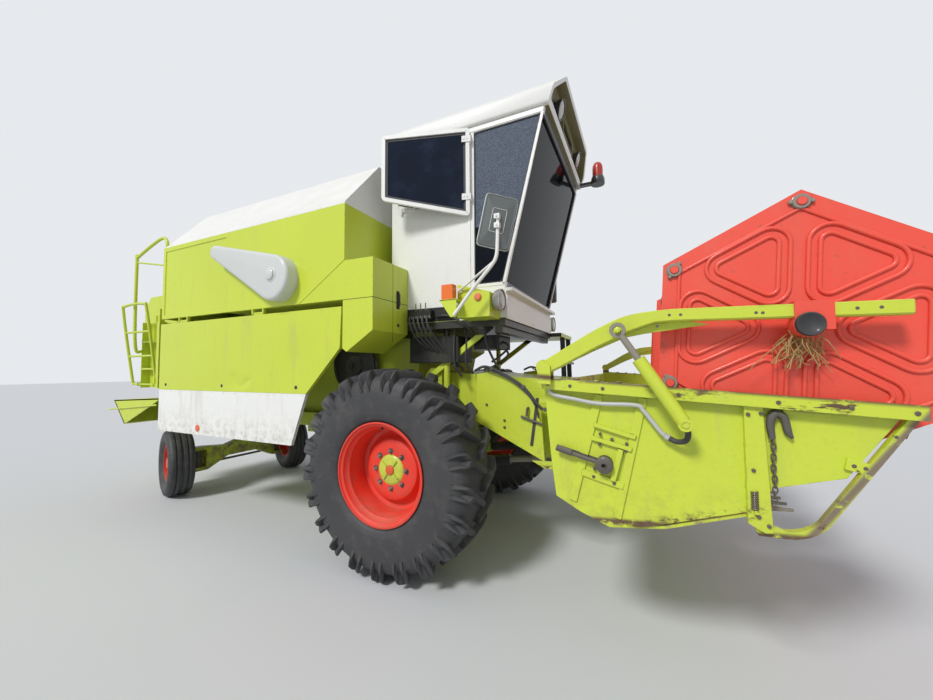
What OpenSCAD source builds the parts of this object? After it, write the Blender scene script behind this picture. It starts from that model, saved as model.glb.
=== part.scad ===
// Combine harvester with its cutting header raised, in millimetres.
// Machine frame: X forward from the front axle, Y to the left, Z up from body_lift over the ground.

/* [Running gear] */
// Outside diameter of a front tyre over its lugs
front_tyre_d = 1430; // [1380:5:1480]
// Section width of a front tyre
front_tyre_w = 450; // [420:5:465]
// Distance between the middles of the front tyres
front_track = 2000; // [1980:5:2040]
// Height of a front tyre's lugs
lug_h = 42; // [30:1:50]
// Number of lugs on each side of a front tyre
lug_count = 21; // [16:1:24]
// Radius of a front rim's flange
front_rim_r = 352; // [340:1:360]
// Outside diameter of a rear tyre
rear_tyre_d = 740; // [700:5:760]
// Width of a rear tyre
rear_tyre_w = 250; // [220:5:265]
// Distance between the rear kingpins
kingpin_track = 1060; // [1000:5:1100]
// Distance from a kingpin's axis to the middle of its tyre
kingpin_offset = 200; // [190:5:230]
// Distance between front and rear axles
wheelbase = 3220; // [3150:10:3300]
// Angle at which the rear wheels stand, clockwise from above
steer_rest = 18; // [0:1:20]

/* [Body] */
// Outside width over the skins of the body
body_w = 2280; // [2240:10:2300]
// Width of the threshing housing between the side panels
core_w = 1120; // [1080:10:1140]
// Front end of the grain tank
tank_front_x = -370; // [-380:5:-360]
// Line between the grain tank and the engine hood
tank_rear_x = -1758; // [-1800:5:-1700]
// Rear end of the engine hood
hood_rear_x = -2810; // [-2860:5:-2760]
// Lower edge of tank and hood
tank_bottom_z = 1912; // [1905:1:1925]
// Eaves of tank and hood
tank_top_z = 2645; // [2600:5:2700]
// Top of the white roof
roof_top_z = 3120; // [3060:5:3160]
// Width of the roof's flat top
roof_top_w = 1480; // [1400:10:1500]
// Sheet thickness of tank, hood and roof
skin_t = 25; // [20:1:30]
// Upper edge of the side panels
panel_top_z = 1860; // [1850:1:1870]
// Line between the coloured panel and the white skirt
skirt_top_z = 1200; // [1150:5:1250]
// Lower edge of the side panels
skirt_bottom_z = 790; // [780:5:820]
// Sheet depth of the side panels
panel_t = 28; // [22:1:32]
// Rear end of the straw hood
straw_rear_x = -4080; // [-4120:5:-4000]

/* [Cab] */
// Width over the cab's side walls
cab_w = 1400; // [1380:5:1420]
// Rear face of the cab
cab_rear_x = -260; // [-270:5:-250]
// Foot of the windscreen
cab_front_x = 730; // [720:5:760]
// Lean of the windscreen from foot to head
screen_lean = 320; // [280:5:340]
// Top of the cab's platform
cab_floor_z = 1760; // [1750:5:1770]
// Top of the cab's walls
cab_top_z = 3245; // [3220:5:3260]
// Wall thickness of the cab
cab_wall = 38; // [30:1:45]
// Rear face of the middle post
post_x = 450; // [430:5:460]

/* [Header] */
// Width over the header's top rails
header_w = 3000; // [2950:10:3050]
// Feeder pivot ahead of the front axle
feeder_pivot_x = 90; // [80:5:110]
// Height of the feeder pivot
feeder_pivot_z = 1330; // [1320:5:1340]
// Back sheet of the header ahead of the front axle
header_rear_x = 1200; // [1190:5:1215]
// Middle of the table auger
auger_x = 1530; // [1520:5:1540]
// Height of the table auger's middle
auger_z = 965; // [960:5:975]
// Outside radius of the auger's flights
auger_r = 225; // [210:5:230]
// Middle of the reel ahead of the front axle
reel_x = 2170; // [2150:5:2200]
// Height of the reel's middle
reel_z = 1540; // [1530:5:1560]
// Radius on which the tine bars run
reel_r = 485; // [470:5:490]
// Length of a reel tine below its bar
tine_l = 170; // [150:5:180]
// Distance between neighbouring tine pairs
tine_pitch = 150; // [130:5:200]
// Offset of the control ring's middle behind the reel's middle
crank_l = 70; // [60:5:80]

/* [Hidden] */

green = "#c8d73c";
white = "#ebebe6";
steel = "#8f9296";
dark = "#3a3b3d";
red = "#eb503c";
rubber = "#464648";

// Clearances: between fixed neighbours, in running fits and between moving pieces
seat_gap = 0.3;
run_gap = 0.4;
move_gap = 8;

// Row frame: its origin lies under the middle of the whole machine
hex_turn = -3.6;
bar_count = 6;
plate_r = 535;
front_reach = reel_x + plate_r * cos(180 / bar_count + hex_turn);
row_shift = -(front_reach + straw_rear_x) / 2;

// Height of the machine frame's zero over the ground, and the axles in that frame
body_lift = 35;
front_axle_z = front_tyre_d / 2 - body_lift;
rear_axle_z = rear_tyre_d / 2 - body_lift;
half_body = body_w / 2;
half_core = core_w / 2;
half_cab = cab_w / 2;
half_header = header_w / 2;

module machine() translate([row_shift, 0, body_lift]) children();

// An outline in X and Z, extruded along Y from y0 to y1
module side_form(points, y0, y1)
    translate([0, y1, 0]) rotate([90, 0, 0]) linear_extrude(y1 - y0) polygon(points);

// An outline in Y and Z, extruded along X from x0 to x1
module cross_form(points, x0, x1)
    translate([x0, 0, 0]) rotate([90, 0, 90]) linear_extrude(x1 - x0) polygon(points);

// A block between two corners
module block(a, b) translate(a) cube(b - a);

// A round bar between two points
module rod(a, b, r) {
    d = b - a;
    translate(a) rotate([0, acos(d.z / norm(d)), atan2(d.y, d.x)]) cylinder(r = r, h = norm(d), $fn = 32);
}

// A bent tube along a list of points, with a ball in each bend
module bent_tube(points, r) {
    for (i = [1 : len(points) - 1]) rod(points[i - 1], points[i], r);
    for (i = [1 : 1 : len(points) - 2]) translate(points[i]) sphere(r * 1.03, $fn = 32);
}

// A cylinder along Y from y0 to y1
module cross_shaft(x, z, r, y0, y1, fn = 64)
    translate([x, y1, z]) rotate([90, 0, 0]) cylinder(r = r, h = y1 - y0, $fn = fn);

module both_sides() {
    children();
    mirror([0, 1, 0]) children();
}

// Frame and body
rail_h = 100;
rail_z = 880;
rail_y = half_core + seat_gap;
axle_r = 90;
body_bottom_z = 845;
rail_front_x = 230;
rail_rear_x = -wheelbase - 70;
pivot_boss_h = 189;
tow_x = -wheelbase - 200;
tow_z = 840;
rail_w = 60;

pivot_r = 45;
pivot_ear_t = 24;
module chassis_frame() color(green) machine() {
    both_sides() block([rail_rear_x, rail_y, rail_z], [rail_front_x, rail_y + rail_w, rail_z + rail_h]);
    for (x = [-2400, -1300, -500]) block([x, -rail_y - 1, 800], [x + 80, rail_y + 1, body_bottom_z - seat_gap]);
    both_sides() for (x = [-2400, -1300, -500])
        block([x, rail_y, 800], [x + 80, rail_y + rail_w, rail_z + 1]);
    // Saddles that carry the body on the front axle
    both_sides() block([-70, rail_y, front_axle_z + axle_r + seat_gap], [70, rail_y + rail_w, rail_z + 1]);
    // Bearings of the feeder's pivot
    both_sides() difference() {
        side_form([[-60, rail_z + rail_h - 1], [165, rail_z + rail_h - 1], [150, 1360], [110, 1400],
                   [50, 1400], [0, 1340]], rail_y, rail_y + pivot_ear_t);
        cross_shaft(feeder_pivot_x, feeder_pivot_z, pivot_r + run_gap, rail_y - 1, rail_y + pivot_ear_t + 1, 64);
    }
    // Brackets and pins of the lift cylinders, under the front axle's housing
    both_sides() for (y = [lift_y - 45, lift_y + 29])
        side_form([[-60, front_axle_z - axle_r - seat_gap], [60, front_axle_z - axle_r - seat_gap], [220, 640],
                   [220, 555], [60, 530], [-60, 530]], y, y + 16);
    both_sides() cross_shaft(lift_pin_rear.x, lift_pin_rear.y, 16, lift_y - 40, lift_y + 40, 48);
    // Cross beam over the rear axle, its pivot's bracket and the towing plate
    block([-wheelbase - 60, -rail_y - rail_w, rail_z - 80], [-wheelbase + 60, rail_y + rail_w, rail_z + 1]);
    block([-wheelbase - 60, -90, rear_axle_z + pivot_boss_h + seat_gap], [-wheelbase + 60, 90, rail_z - 79]);
    difference() {
        block([tow_x - 50, -60, tow_z - 20], [-wheelbase - 59, 60, tow_z + 20]);
        translate([tow_x, 0, tow_z - 21]) cylinder(r = 16, h = 42, $fn = 48);
    }
}

core_rear_x = -2790;
floor_t = 60;
module threshing_body() color(green) machine()
    side_form([[core_rear_x, 1000], [core_rear_x, tank_bottom_z - seat_gap], [-345, tank_bottom_z - seat_gap],
               [-345, cab_floor_z - floor_t - seat_gap], [50, cab_floor_z - floor_t - seat_gap], [50, 1560],
               [-60, 1500], [-130, 1180], [-200, 980], [-420, body_bottom_z], [-2600, body_bottom_z]],
              -half_core, half_core);

spread_half = 950;
module straw_hood() color(green) machine() {
    difference() {
        side_form([[core_rear_x - seat_gap, 1000], [core_rear_x - seat_gap, 1905], [hood_rear_x - 20, 1905], [hood_rear_x - 20, 2330], [-3950, 2290],
                   [straw_rear_x, 2150], [straw_rear_x, 1500], [-3950, 1250], [-3050, 1000]],
                  -half_core, half_core);
        side_form([[-2850, 990], [-2850, 1870], [-2876, 2300], [-3940, 2262],
                   [straw_rear_x + 30, 2138], [straw_rear_x + 30, 1512], [-3950, 1220], [-3050, 970]],
                  -half_core + 25, half_core - 25);
    }
    // Sheet that spreads the straw
    difference() {
        side_form([[-3130, 1100], [-4070, 1040], [-3820, 775], [-3130, 1075]], -spread_half, spread_half);
        side_form([[-3180, 1075], [-4030, 1020], [-3860, 740], [-3180, 1015]], -spread_half + 12, spread_half - 12);
    }
}

// Grain tank, hood and roof
tank_cut = [-845, 2212];

module grain_tank() color(green) machine() {
    // Turntable of the unloading tube
    difference() {
        union() {
            translate([spout_pivot.x, spout_pivot.y, 2040]) cylinder(r = spout_r + 20, h = spout_foot_z - 2040 - seat_gap, $fn = 64);
            block([spout_pivot.x - 90, half_body + 1, 2045], [spout_pivot.x + 90, spout_pivot.y, 2070]);
            block([spout_pivot.x - 90, half_body + 1, 2045], [spout_pivot.x + 90, half_body + 15, 2200]);
            block([spout_pivot.x - 90, half_body - 2, 2168], [spout_pivot.x + 90, half_body + 15, 2200]);
        }
        translate([spout_pivot.x, spout_pivot.y, 2000]) cylinder(r = 60, h = 200, $fn = 64);
    }
    panel_ears(panel_hinges[1]);
    difference() {
        side_form([[tank_rear_x, tank_bottom_z], [tank_cut.x, tank_bottom_z], [tank_front_x, tank_cut.y],
                   [tank_front_x, tank_top_z], [tank_rear_x, tank_top_z]], -half_body, half_body);
        side_form([[tank_rear_x + skin_t, tank_bottom_z + skin_t], [tank_cut.x - skin_t, tank_bottom_z + skin_t],
                   [tank_front_x - skin_t, tank_cut.y + skin_t], [tank_front_x - skin_t, tank_top_z + 10],
                   [tank_rear_x + skin_t, tank_top_z + 10]], -half_body + skin_t, half_body - skin_t);
    }
}

function roof_section(inset, z0) =
    let (hb = half_body - inset, ht = roof_top_w / 2 - inset * 0.6)
    [[-hb, z0], [hb, z0], [hb, tank_top_z + 12], [ht, roof_top_z - inset], [-ht, roof_top_z - inset],
     [-hb, tank_top_z + 12]];

lid_x0 = tank_rear_x + 120;
lid_x1 = tank_front_x - 120;
lid_half = 620;
lid_t = 30;
lid_hinges = [lid_x0 + 150, lid_x1 - 250];
lid_hinge_l = 100;

module tank_roof() color(white) machine() {
    tank_roof_shell();
    for (x = lid_hinges) for (e = [x - ear_t, x + lid_hinge_l]) difference() {
        block([e, lid_half + 8, roof_top_z - 1], [e + ear_t, lid_half + 32, lid_pin_z + 11]);
        translate([e - 1, lid_half + 18, lid_pin_z]) rotate([0, 90, 0]) cylinder(r = 8 + run_gap, h = ear_t + 2, $fn = 32);
    }
}
module tank_roof_shell() difference() {
    cross_form(roof_section(0, tank_top_z), tank_rear_x, tank_front_x);
    cross_form(roof_section(skin_t, tank_top_z - 1), tank_rear_x + skin_t, tank_front_x - skin_t);
    block([lid_x0 + 40, -lid_half + 40, roof_top_z - 60], [lid_x1 - 40, lid_half - 40, roof_top_z + 10]);
}

// Folding lid over the filling hatch, hinged along its left edge
lid_pin_z = roof_top_z + 22;
module tank_lid() color(white) machine() {
    difference() {
        block([lid_x0, -lid_half, roof_top_z + seat_gap], [lid_x1, lid_half, roof_top_z + lid_t]);
        block([lid_x0 + 20, -lid_half + 20, roof_top_z - 1], [lid_x1 - 20, lid_half - 20, roof_top_z + lid_t - 6]);
    }
    for (x = lid_hinges) {
        translate([x - ear_t, lid_half + 18, lid_pin_z]) rotate([0, 90, 0])
            cylinder(r = 8, h = lid_hinge_l + 2 * ear_t, $fn = 32);
        block([x + 1, lid_half - 5, roof_top_z + 16], [x + lid_hinge_l - 1, lid_half + 18, roof_top_z + lid_t]);
    }
}

module engine_hood() color(green) machine() {
    x1 = tank_rear_x - seat_gap;
    panel_ears(panel_hinges[0]);
    difference() {
        cross_form(concat([[-half_body, tank_bottom_z], [half_body, tank_bottom_z]],
            [[half_body, tank_top_z], [roof_top_w / 2, roof_top_z], [-roof_top_w / 2, roof_top_z],
             [-half_body, tank_top_z]]), hood_rear_x, x1);
        cross_form([[-half_body + skin_t, tank_bottom_z - 1], [half_body - skin_t, tank_bottom_z - 1],
                    [half_body - skin_t, tank_top_z - 10], [roof_top_w / 2 - 15, roof_top_z - skin_t],
                    [-roof_top_w / 2 + 15, roof_top_z - skin_t], [-half_body + skin_t, tank_top_z - 10]],
                   hood_rear_x + skin_t, x1 - skin_t);
        // Screen panels stand a little inside their frames
        for (s = [-1, 1]) block([hood_rear_x + 40, s * half_body - 6, tank_bottom_z + 40],
                                [x1 - 30, s * half_body + 6, tank_top_z - 40]);
    }
}

engine_z = tank_bottom_z;
module engine_block() color(dark) machine()
    block([-2600, -300, engine_z], [-1950, 300, engine_z + 620]);

// Boxes beside the cab's rear corners
module front_boxes() color(green) machine() both_sides()
    side_form([[-100, 1670], [-100, 2200], [tank_front_x + 1, 2206], [tank_cut.x + 8, tank_bottom_z - 0.5],
               [-380, tank_bottom_z - 0.5], [-380, 1545], [-340, 1520]], half_cab + 4, half_body);

// Long guard over the outer belt on the right side
module belt_guard() color("#cdd0cd") machine()
    translate([0, -half_body - seat_gap, 0]) rotate([90, 0, 0]) linear_extrude(110) hull() {
        translate([-1000, 2160]) circle(r = 165, $fn = 32);
        translate([-1790, 2440]) circle(r = 62, $fn = 32);
    }

// Side panels with a white skirt, each hinged along its top edge
panel_front = [[-392, panel_top_z], [-407, 1550], [-750, skirt_top_z]];
skirt_front = [[-752, skirt_top_z - seat_gap], [-905, skirt_bottom_z]];
panel_rear_x = -2820;
panel_pin_z = panel_top_z + 16;
panel_pin_y = half_body - 16;
panel_hinges = [-2500, -1400];
panel_hinge_l = 120;
ear_t = 16;
panel_ear_r = 14;

// Ears under the tank and the hood that hold the side panels' pins
module panel_ears(x) both_sides() for (e = [x - ear_t, x + panel_hinge_l]) difference() {
    union() {
        block([e, panel_pin_y - panel_ear_r, panel_pin_z], [e + ear_t, panel_pin_y + panel_ear_r, tank_bottom_z + 1]);
        translate([e, panel_pin_y, panel_pin_z]) rotate([0, 90, 0]) cylinder(r = panel_ear_r, h = ear_t, $fn = 32);
    }
    translate([e - 1, panel_pin_y, panel_pin_z]) rotate([0, 90, 0]) cylinder(r = 10 + run_gap, h = ear_t + 2, $fn = 32);
}

module panel_left_hand() {
    difference() {
        side_form(concat([[panel_rear_x, panel_top_z]], panel_front, [[panel_rear_x, skirt_top_z]]),
                  half_body - panel_t, half_body);
        side_form([[panel_rear_x + 30, panel_top_z - 30], [-420, panel_top_z - 30], [-432, 1560],
                   [-765, skirt_top_z + 30], [panel_rear_x + 30, skirt_top_z + 30]],
                  half_body - panel_t - 1, half_body - 5);
    }
    for (x = panel_hinges) {
        translate([x - ear_t, panel_pin_y, panel_pin_z]) rotate([0, 90, 0])
            cylinder(r = 10, h = panel_hinge_l + 2 * ear_t, $fn = 32);
        block([x + 1, panel_pin_y - 8, panel_top_z - 20], [x + panel_hinge_l - 1, panel_pin_y + 8, panel_pin_z]);
    }
}

module skirt_left_hand()
    side_form(concat([[panel_rear_x, skirt_top_z - seat_gap]], skirt_front, [[panel_rear_x, skirt_bottom_z]]),
              half_body - panel_t, half_body - 2);

module side_panel_left() machine() {
    color(green) panel_left_hand();
    color(white) skirt_left_hand();
}

module side_panel_right() machine() mirror([0, 1, 0]) {
    color(green) panel_left_hand();
    color(white) skirt_left_hand();
}

// Cab
// Heights of the cab's openings follow its floor and its top
fascia_top_z = cab_floor_z + 225;
screen_foot_z = fascia_top_z + 35;
window_sill = cab_floor_z + 740;
window_head = cab_top_z - 45;
screen_slope = screen_lean / (cab_top_z - fascia_top_z);
function screen_x(z) = cab_front_x + (z - fascia_top_z) * screen_slope;

module cab_floor() color(dark) machine() {
    block([cab_rear_x, -half_cab - 3, cab_floor_z - floor_t], [cab_front_x + 10, half_cab + 3, cab_floor_z]);
    both_sides() translate([rail_front_x - 28, rail_y + rail_w / 2, rail_z + rail_h])
        cylinder(r = 24, h = cab_floor_z - floor_t - rail_z - rail_h + 1, $fn = 48);
    both_sides() side_form([[60, 1300], [60, 1385], [500, cab_floor_z - floor_t + 2], [580, cab_floor_z - floor_t + 2]],
                           rail_y + pivot_ear_t + seat_gap, rail_y + pivot_ear_t + 25);
    // Landing at the door
    block([-90, half_cab + 3, cab_floor_z - 40], [1080, 1240, cab_floor_z]);
}

cab_side = [[cab_rear_x, cab_floor_z], [cab_front_x + 10, cab_floor_z], [cab_front_x + 10, fascia_top_z],
            [screen_x(cab_top_z), cab_top_z], [cab_rear_x, cab_top_z]];

rear_light_half = 450;
rear_sill = cab_floor_z + 540;
rear_head = window_head - 50;

module cab_shell() color(white) machine() {
    cab_box();
    // Ears of the door's hinges
    for (z = door_hinges) for (e = [z - ear_t, z + door_hinge_l]) difference() {
        block([door_pin.x - 16, half_cab - 1, e], [door_pin.x + 13, door_pin.y + 16, e + ear_t]);
        translate([door_pin.x, door_pin.y, e - 1]) cylinder(r = 10 + run_gap, h = ear_t + 2, $fn = 32);
    }
}

module cab_box() difference() {
    side_form(cab_side, -half_cab, half_cab);
    // Inside of the cab
    side_form([[cab_rear_x + cab_wall, cab_floor_z - 1], [cab_front_x + 10 - cab_wall, cab_floor_z - 1],
               [cab_front_x + 10 - cab_wall, fascia_top_z + 5], [screen_x(cab_top_z) - cab_wall, cab_top_z + 5],
               [cab_rear_x + cab_wall, cab_top_z + 5]],
              -half_cab + cab_wall, half_cab - cab_wall);
    // Windscreen
    side_form([[cab_front_x - 80, screen_foot_z], [cab_front_x + 60, screen_foot_z], [screen_x(window_head) + 60, window_head],
               [screen_x(window_head) - 80, window_head]], -half_cab + 40, half_cab - 40);
    // Quarter lights between the middle post and the windscreen
    side_form([[post_x + 50, screen_foot_z], [cab_front_x - 35, screen_foot_z], [screen_x(window_head) - 45, window_head],
               [post_x + 50, window_head]], -half_cab - 1, half_cab + 1);
    // Right side window
    block([cab_rear_x + 60, -half_cab - 1, window_sill], [post_x, -half_cab + cab_wall + 1, window_head]);
    // Left door
    block([door_x0, half_cab - cab_wall - 1, cab_floor_z + 30], [post_x, half_cab + 1, window_head]);
    // Rear window
    block([cab_rear_x - 1, -rear_light_half, rear_sill], [cab_rear_x + cab_wall + 1, rear_light_half, rear_head]);
}

module cab_roof() color(white) machine() difference() {
    side_form([[cab_rear_x - 30, cab_top_z + seat_gap], [screen_x(cab_top_z) + 40, cab_top_z + seat_gap],
               [1200, cab_top_z + 195], [1150, cab_top_z + 255], [900, cab_top_z + 255],
               [cab_rear_x + 20, cab_top_z + 75]], -half_cab - 25, half_cab + 25);
    side_form([[cab_rear_x + 30, cab_top_z - 1], [screen_x(cab_top_z) - 60, cab_top_z - 1],
               [screen_x(cab_top_z) - 60, cab_top_z + 155], [cab_rear_x + 60, cab_top_z + 45]],
              -half_cab + 30, half_cab - 30);
}

glass_t = 6;
module cab_glass() color("#30404a") machine() {
    // Windscreen
    side_form([[screen_x(screen_foot_z) - 22, screen_foot_z + seat_gap],
               [screen_x(screen_foot_z) - 22 + glass_t, screen_foot_z + seat_gap],
               [screen_x(window_head) - 22 + glass_t, window_head - seat_gap],
               [screen_x(window_head) - 22, window_head - seat_gap]],
              -half_cab + 40 + seat_gap, half_cab - 40 - seat_gap);
    // Quarter lights
    for (y = [-half_cab + 10, half_cab - 10 - glass_t])
        side_form([[post_x + 50 + seat_gap, screen_foot_z + seat_gap],
                   [cab_front_x - 35 - seat_gap, screen_foot_z + seat_gap],
                   [screen_x(window_head) - 45 - seat_gap, window_head - seat_gap],
                   [post_x + 50 + seat_gap, window_head - seat_gap]], y, y + glass_t);
    // Rear window
    block([cab_rear_x + 16, -rear_light_half + seat_gap, rear_sill + seat_gap],
          [cab_rear_x + 16 + glass_t, rear_light_half - seat_gap, rear_head - seat_gap]);
}

// Side window that stands ajar, hinged to the middle post
window_open = 17;
module side_window() color(white) machine()
    translate([post_x + 25, -half_cab - 18, 0]) rotate([0, 0, window_open]) {
        difference() {
            block([-700, -14, window_sill + 40], [0, 14, window_head + 30]);
            block([-660, -15, window_sill + 80], [-40, 15, window_head - 10]);
        }
        block([-665, -3, window_sill + 75], [-35, 3, window_head - 5]);
        for (z = [window_sill + 160, window_head - 90]) translate([0, 2, z]) cylinder(r = 15.7, h = 60, $fn = 32);
    }

// Left door, hinged at its rear edge
door_x0 = -66;
door_x1 = post_x;
door_pin = [door_x0 - 14, half_cab + 16];
door_hinges = [cab_floor_z + 140, window_head - 200];
door_sash_z = cab_floor_z + 340;
door_hinge_l = 70;
module cab_door() color(white) machine() {
    difference() {
        block([door_x0 + 6, half_cab - cab_wall + 4, cab_floor_z + 36], [door_x1 - 6, half_cab - 2, window_head - 6]);
        block([door_x0 + 66, half_cab - cab_wall, door_sash_z], [door_x1 - 66, half_cab + 5, window_head - 66]);
        block([door_x0 + 66, half_cab - cab_wall, cab_floor_z + 100], [door_x1 - 66, half_cab - 14, door_sash_z - 60]);
    }
    block([door_x0 + 60, half_cab - 22, door_sash_z - 6], [door_x1 - 60, half_cab - 16, window_head - 60]);
    for (z = door_hinges) {
        translate([door_pin.x, door_pin.y, z - ear_t]) cylinder(r = 10, h = door_hinge_l + 2 * ear_t, $fn = 32);
        block([door_pin.x, half_cab + 3, z + 1], [door_x0 + 46, half_cab + 14, z + door_hinge_l - 1]);
        block([door_x0 + 10, half_cab - 4, z + 1], [door_x0 + 46, half_cab + 5, z + door_hinge_l - 1]);
    }
}

module operator_seat() color(dark) machine() {
    translate([60, 0, cab_floor_z]) cylinder(r = 120, h = 330, $fn = 48);
    block([-130, -240, cab_floor_z + 330], [300, 240, cab_floor_z + 430]);
    side_form([[-130, cab_floor_z + 400], [-60, cab_floor_z + 400], [-110, cab_floor_z + 900],
               [-170, cab_floor_z + 900]], -230, 230);
}

module steering_column() color(dark) machine() {
    translate([555, 0, cab_floor_z]) cylinder(r = 75, h = 16, $fn = 48);
    rod([558, 0, cab_floor_z + 12], [470, 0, cab_floor_z + 560], 45);
    translate([463, 0, cab_floor_z + 600]) rotate([0, -10, 0]) {
        rotate_extrude($fn = 64) translate([190, 0]) circle(r = 14, $fn = 24);
        for (a = [0, 120, 240]) rotate([0, 0, a]) block([0, -14, -8], [190, 14, 8]);
        translate([0, 0, -60]) cylinder(r = 40, h = 70, $fn = 48);
    }
}

module cab_fascia() color(white) machine() {
    block([cab_front_x + 10 + seat_gap, -half_cab, cab_floor_z - 5],
          [cab_front_x + 35, half_cab, fascia_top_z - 10]);
    both_sides() block([cab_front_x + 35, half_cab - 95, cab_floor_z + 15],
                       [cab_front_x + 50, half_cab + 15, fascia_top_z - 20]);
}

module lamps() color("#e8963c") machine() {
    both_sides() translate([cab_front_x + 50 + seat_gap, half_cab - 40, cab_floor_z + 125])
        rotate([0, 90, 0]) cylinder(r = 52, h = 40, $fn = 48);
    both_sides() block([560, half_cab + seat_gap, cab_floor_z + 130], [640, half_cab + 60, cab_floor_z + 200]);
}

module mirrors() color(dark) machine() both_sides() {
    block([610, half_cab + seat_gap, cab_floor_z + 40], [670, half_cab + 14, cab_floor_z + 100]);
    bent_tube([[640, half_cab + 13, cab_floor_z + 70], [760, half_cab + 190, cab_floor_z + 300],
               [790, half_cab + 300, cab_floor_z + 570], [790, half_cab + 300, cab_floor_z + 720]], 12);
    block([795, half_cab + 210, cab_floor_z + 440], [825, half_cab + 390, cab_floor_z + 800]);
}

// Steps to the landing, ahead of the left front wheel
module access_steps() color(dark) machine() {
    for (y = [880, 1210]) side_form([[830, 500], [880, 500], [1010, cab_floor_z - 40], [960, cab_floor_z - 40]],
                                    y, y + 20);
    for (i = [0 : 3]) block([860 + i * 32, 899, 560 + i * 290], [1010 + i * 20, 1211, 585 + i * 290]);
    bent_tube([[1040, 1225, cab_floor_z], [1040, 1225, 2700], [560, 1225, 2700], [560, 1225, cab_floor_z]], 16);
}

// Ladder, hoop and handrail at the right rear corner
module rear_ladder() color(green) machine() {
    for (y = [-1100, -780]) rod([-3120, y, 1145], [-3120, y, 1960], 16);
    for (z = [1230, 1450, 1670, 1890]) rod([-3120, -1100, z], [-3120, -780, z], 14);
    bent_tube([[-3120, -1100, 1930], [-3120, -1100, 2560], [-2980, -1000, 2720],
               [hood_rear_x - 20, -900, 2760]], 16);
    block([hood_rear_x - 26, -935, 2725], [hood_rear_x - seat_gap, -865, 2795]);
    block([-3140, -1120, 1900], [hood_rear_x - 21, -half_core - seat_gap, 1930]);
    block([-3140, -1120, 1140], [-3096, -half_core - seat_gap, 1180]);
}

// Unloading tube folded back along the left side
spout_pivot = [-560, half_body + 155];
spout_r = 110;
spout_z = 2390;
spout_foot_z = 2080;
module unloading_auger() color(green) machine() {
    translate([spout_pivot.x, spout_pivot.y, spout_foot_z]) cylinder(r = spout_r, h = spout_z - spout_foot_z, $fn = 64);
    translate([spout_pivot.x, spout_pivot.y, spout_z]) sphere(spout_r + 1, $fn = 64);
    translate([spout_pivot.x, spout_pivot.y, spout_z]) rotate([0, -90, 0]) cylinder(r = spout_r, h = 2700, $fn = 64);
}

// Wheels
rim_tyre_r = front_rim_r - 22;
hub_half = 60;

// A front tyre's carcass around the Y axis: bead, flanks, shoulders and tread
module front_carcass() {
    tread_r = front_tyre_d / 2 - lug_h;
    w = front_tyre_w / 2;
    rotate([90, 0, 0]) rotate_extrude($fn = 96) polygon([
        [rim_tyre_r, w - 75], [front_rim_r + 20, w - 40], [front_rim_r + 100, w], [tread_r - 110, w],
        [tread_r - 20, w - 30], [tread_r, w - 90], [tread_r, 90 - w], [tread_r - 20, 30 - w],
        [tread_r - 110, -w], [front_rim_r + 100, -w], [front_rim_r + 20, 40 - w], [rim_tyre_r, 75 - w]]);
}

// A slanted lug, from the middle of the tread over the shoulder
module front_lug() {
    base = front_tyre_d / 2 - lug_h - 30;
    w = front_tyre_w / 2;
    translate([0, 0, base]) linear_extrude(front_tyre_d / 2 + 20 - base)
        polygon([[-25, -12], [25, -12], [150, w - 12], [85, w - 12]]);
}

module front_tyre(dir) {
    front_carcass();
    intersection() {
        union() {
            for (i = [0 : lug_count - 1]) rotate([0, i * 360 / lug_count, 0]) front_lug();
            for (i = [0 : lug_count - 1]) rotate([0, (i + 0.5) * 360 / lug_count, 0]) mirror([0, 1, 0]) front_lug();
        }
        rotate([90, 0, 0]) cylinder(r = front_tyre_d / 2, h = front_tyre_w, center = true, $fn = 96);
    }
}

module front_rim() {
    w = front_tyre_w / 2 - 45;
    rotate([-90, 0, 0]) {
        rotate_extrude($fn = 96) polygon([
            [front_rim_r, w], [front_rim_r, w - 10], [rim_tyre_r - seat_gap, w - 25],
            [rim_tyre_r - seat_gap, 25 - w], [front_rim_r, 10 - w], [front_rim_r, -w],
            [rim_tyre_r - 20, -w], [rim_tyre_r - 20, w]]);
        difference() {
            translate([0, 0, -10]) cylinder(r = rim_tyre_r - 15, h = 16, $fn = 96);
            for (i = [0 : 7]) rotate([0, 0, i * 45]) translate([150, 0, -20]) cylinder(r = 14, h = 40, $fn = 24);
        }
        cylinder(r = 100, h = 90, $fn = 64);
    }
}

module front_wheel_place(side) machine() translate([0, side * front_track / 2, front_axle_z]) children();
module front_tyre_right() color(rubber) front_wheel_place(-1) front_tyre(1);
module front_tyre_left() color(rubber) front_wheel_place(1) front_tyre(-1);
module front_rim_right() color(red) front_wheel_place(-1) mirror([0, 1, 0]) front_rim();
module front_rim_left() color(red) front_wheel_place(1) front_rim();

rear_rim_r = 215;
module rear_tyre() {
    r = rear_tyre_d / 2;
    w = rear_tyre_w / 2;
    rotate([90, 0, 0]) rotate_extrude($fn = 96) polygon([
        [rear_rim_r, w - 35], [rear_rim_r + 60, w], [r - 55, w], [r, w - 30],
        [r, w - 75], [r - 14, w - 80], [r - 14, w - 95], [r, w - 100], [r, 100 - w], [r - 14, 95 - w],
        [r - 14, 80 - w], [r, 75 - w], [r, 30 - w], [r - 55, -w], [rear_rim_r + 60, -w], [rear_rim_r, 35 - w]]);
}

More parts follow.
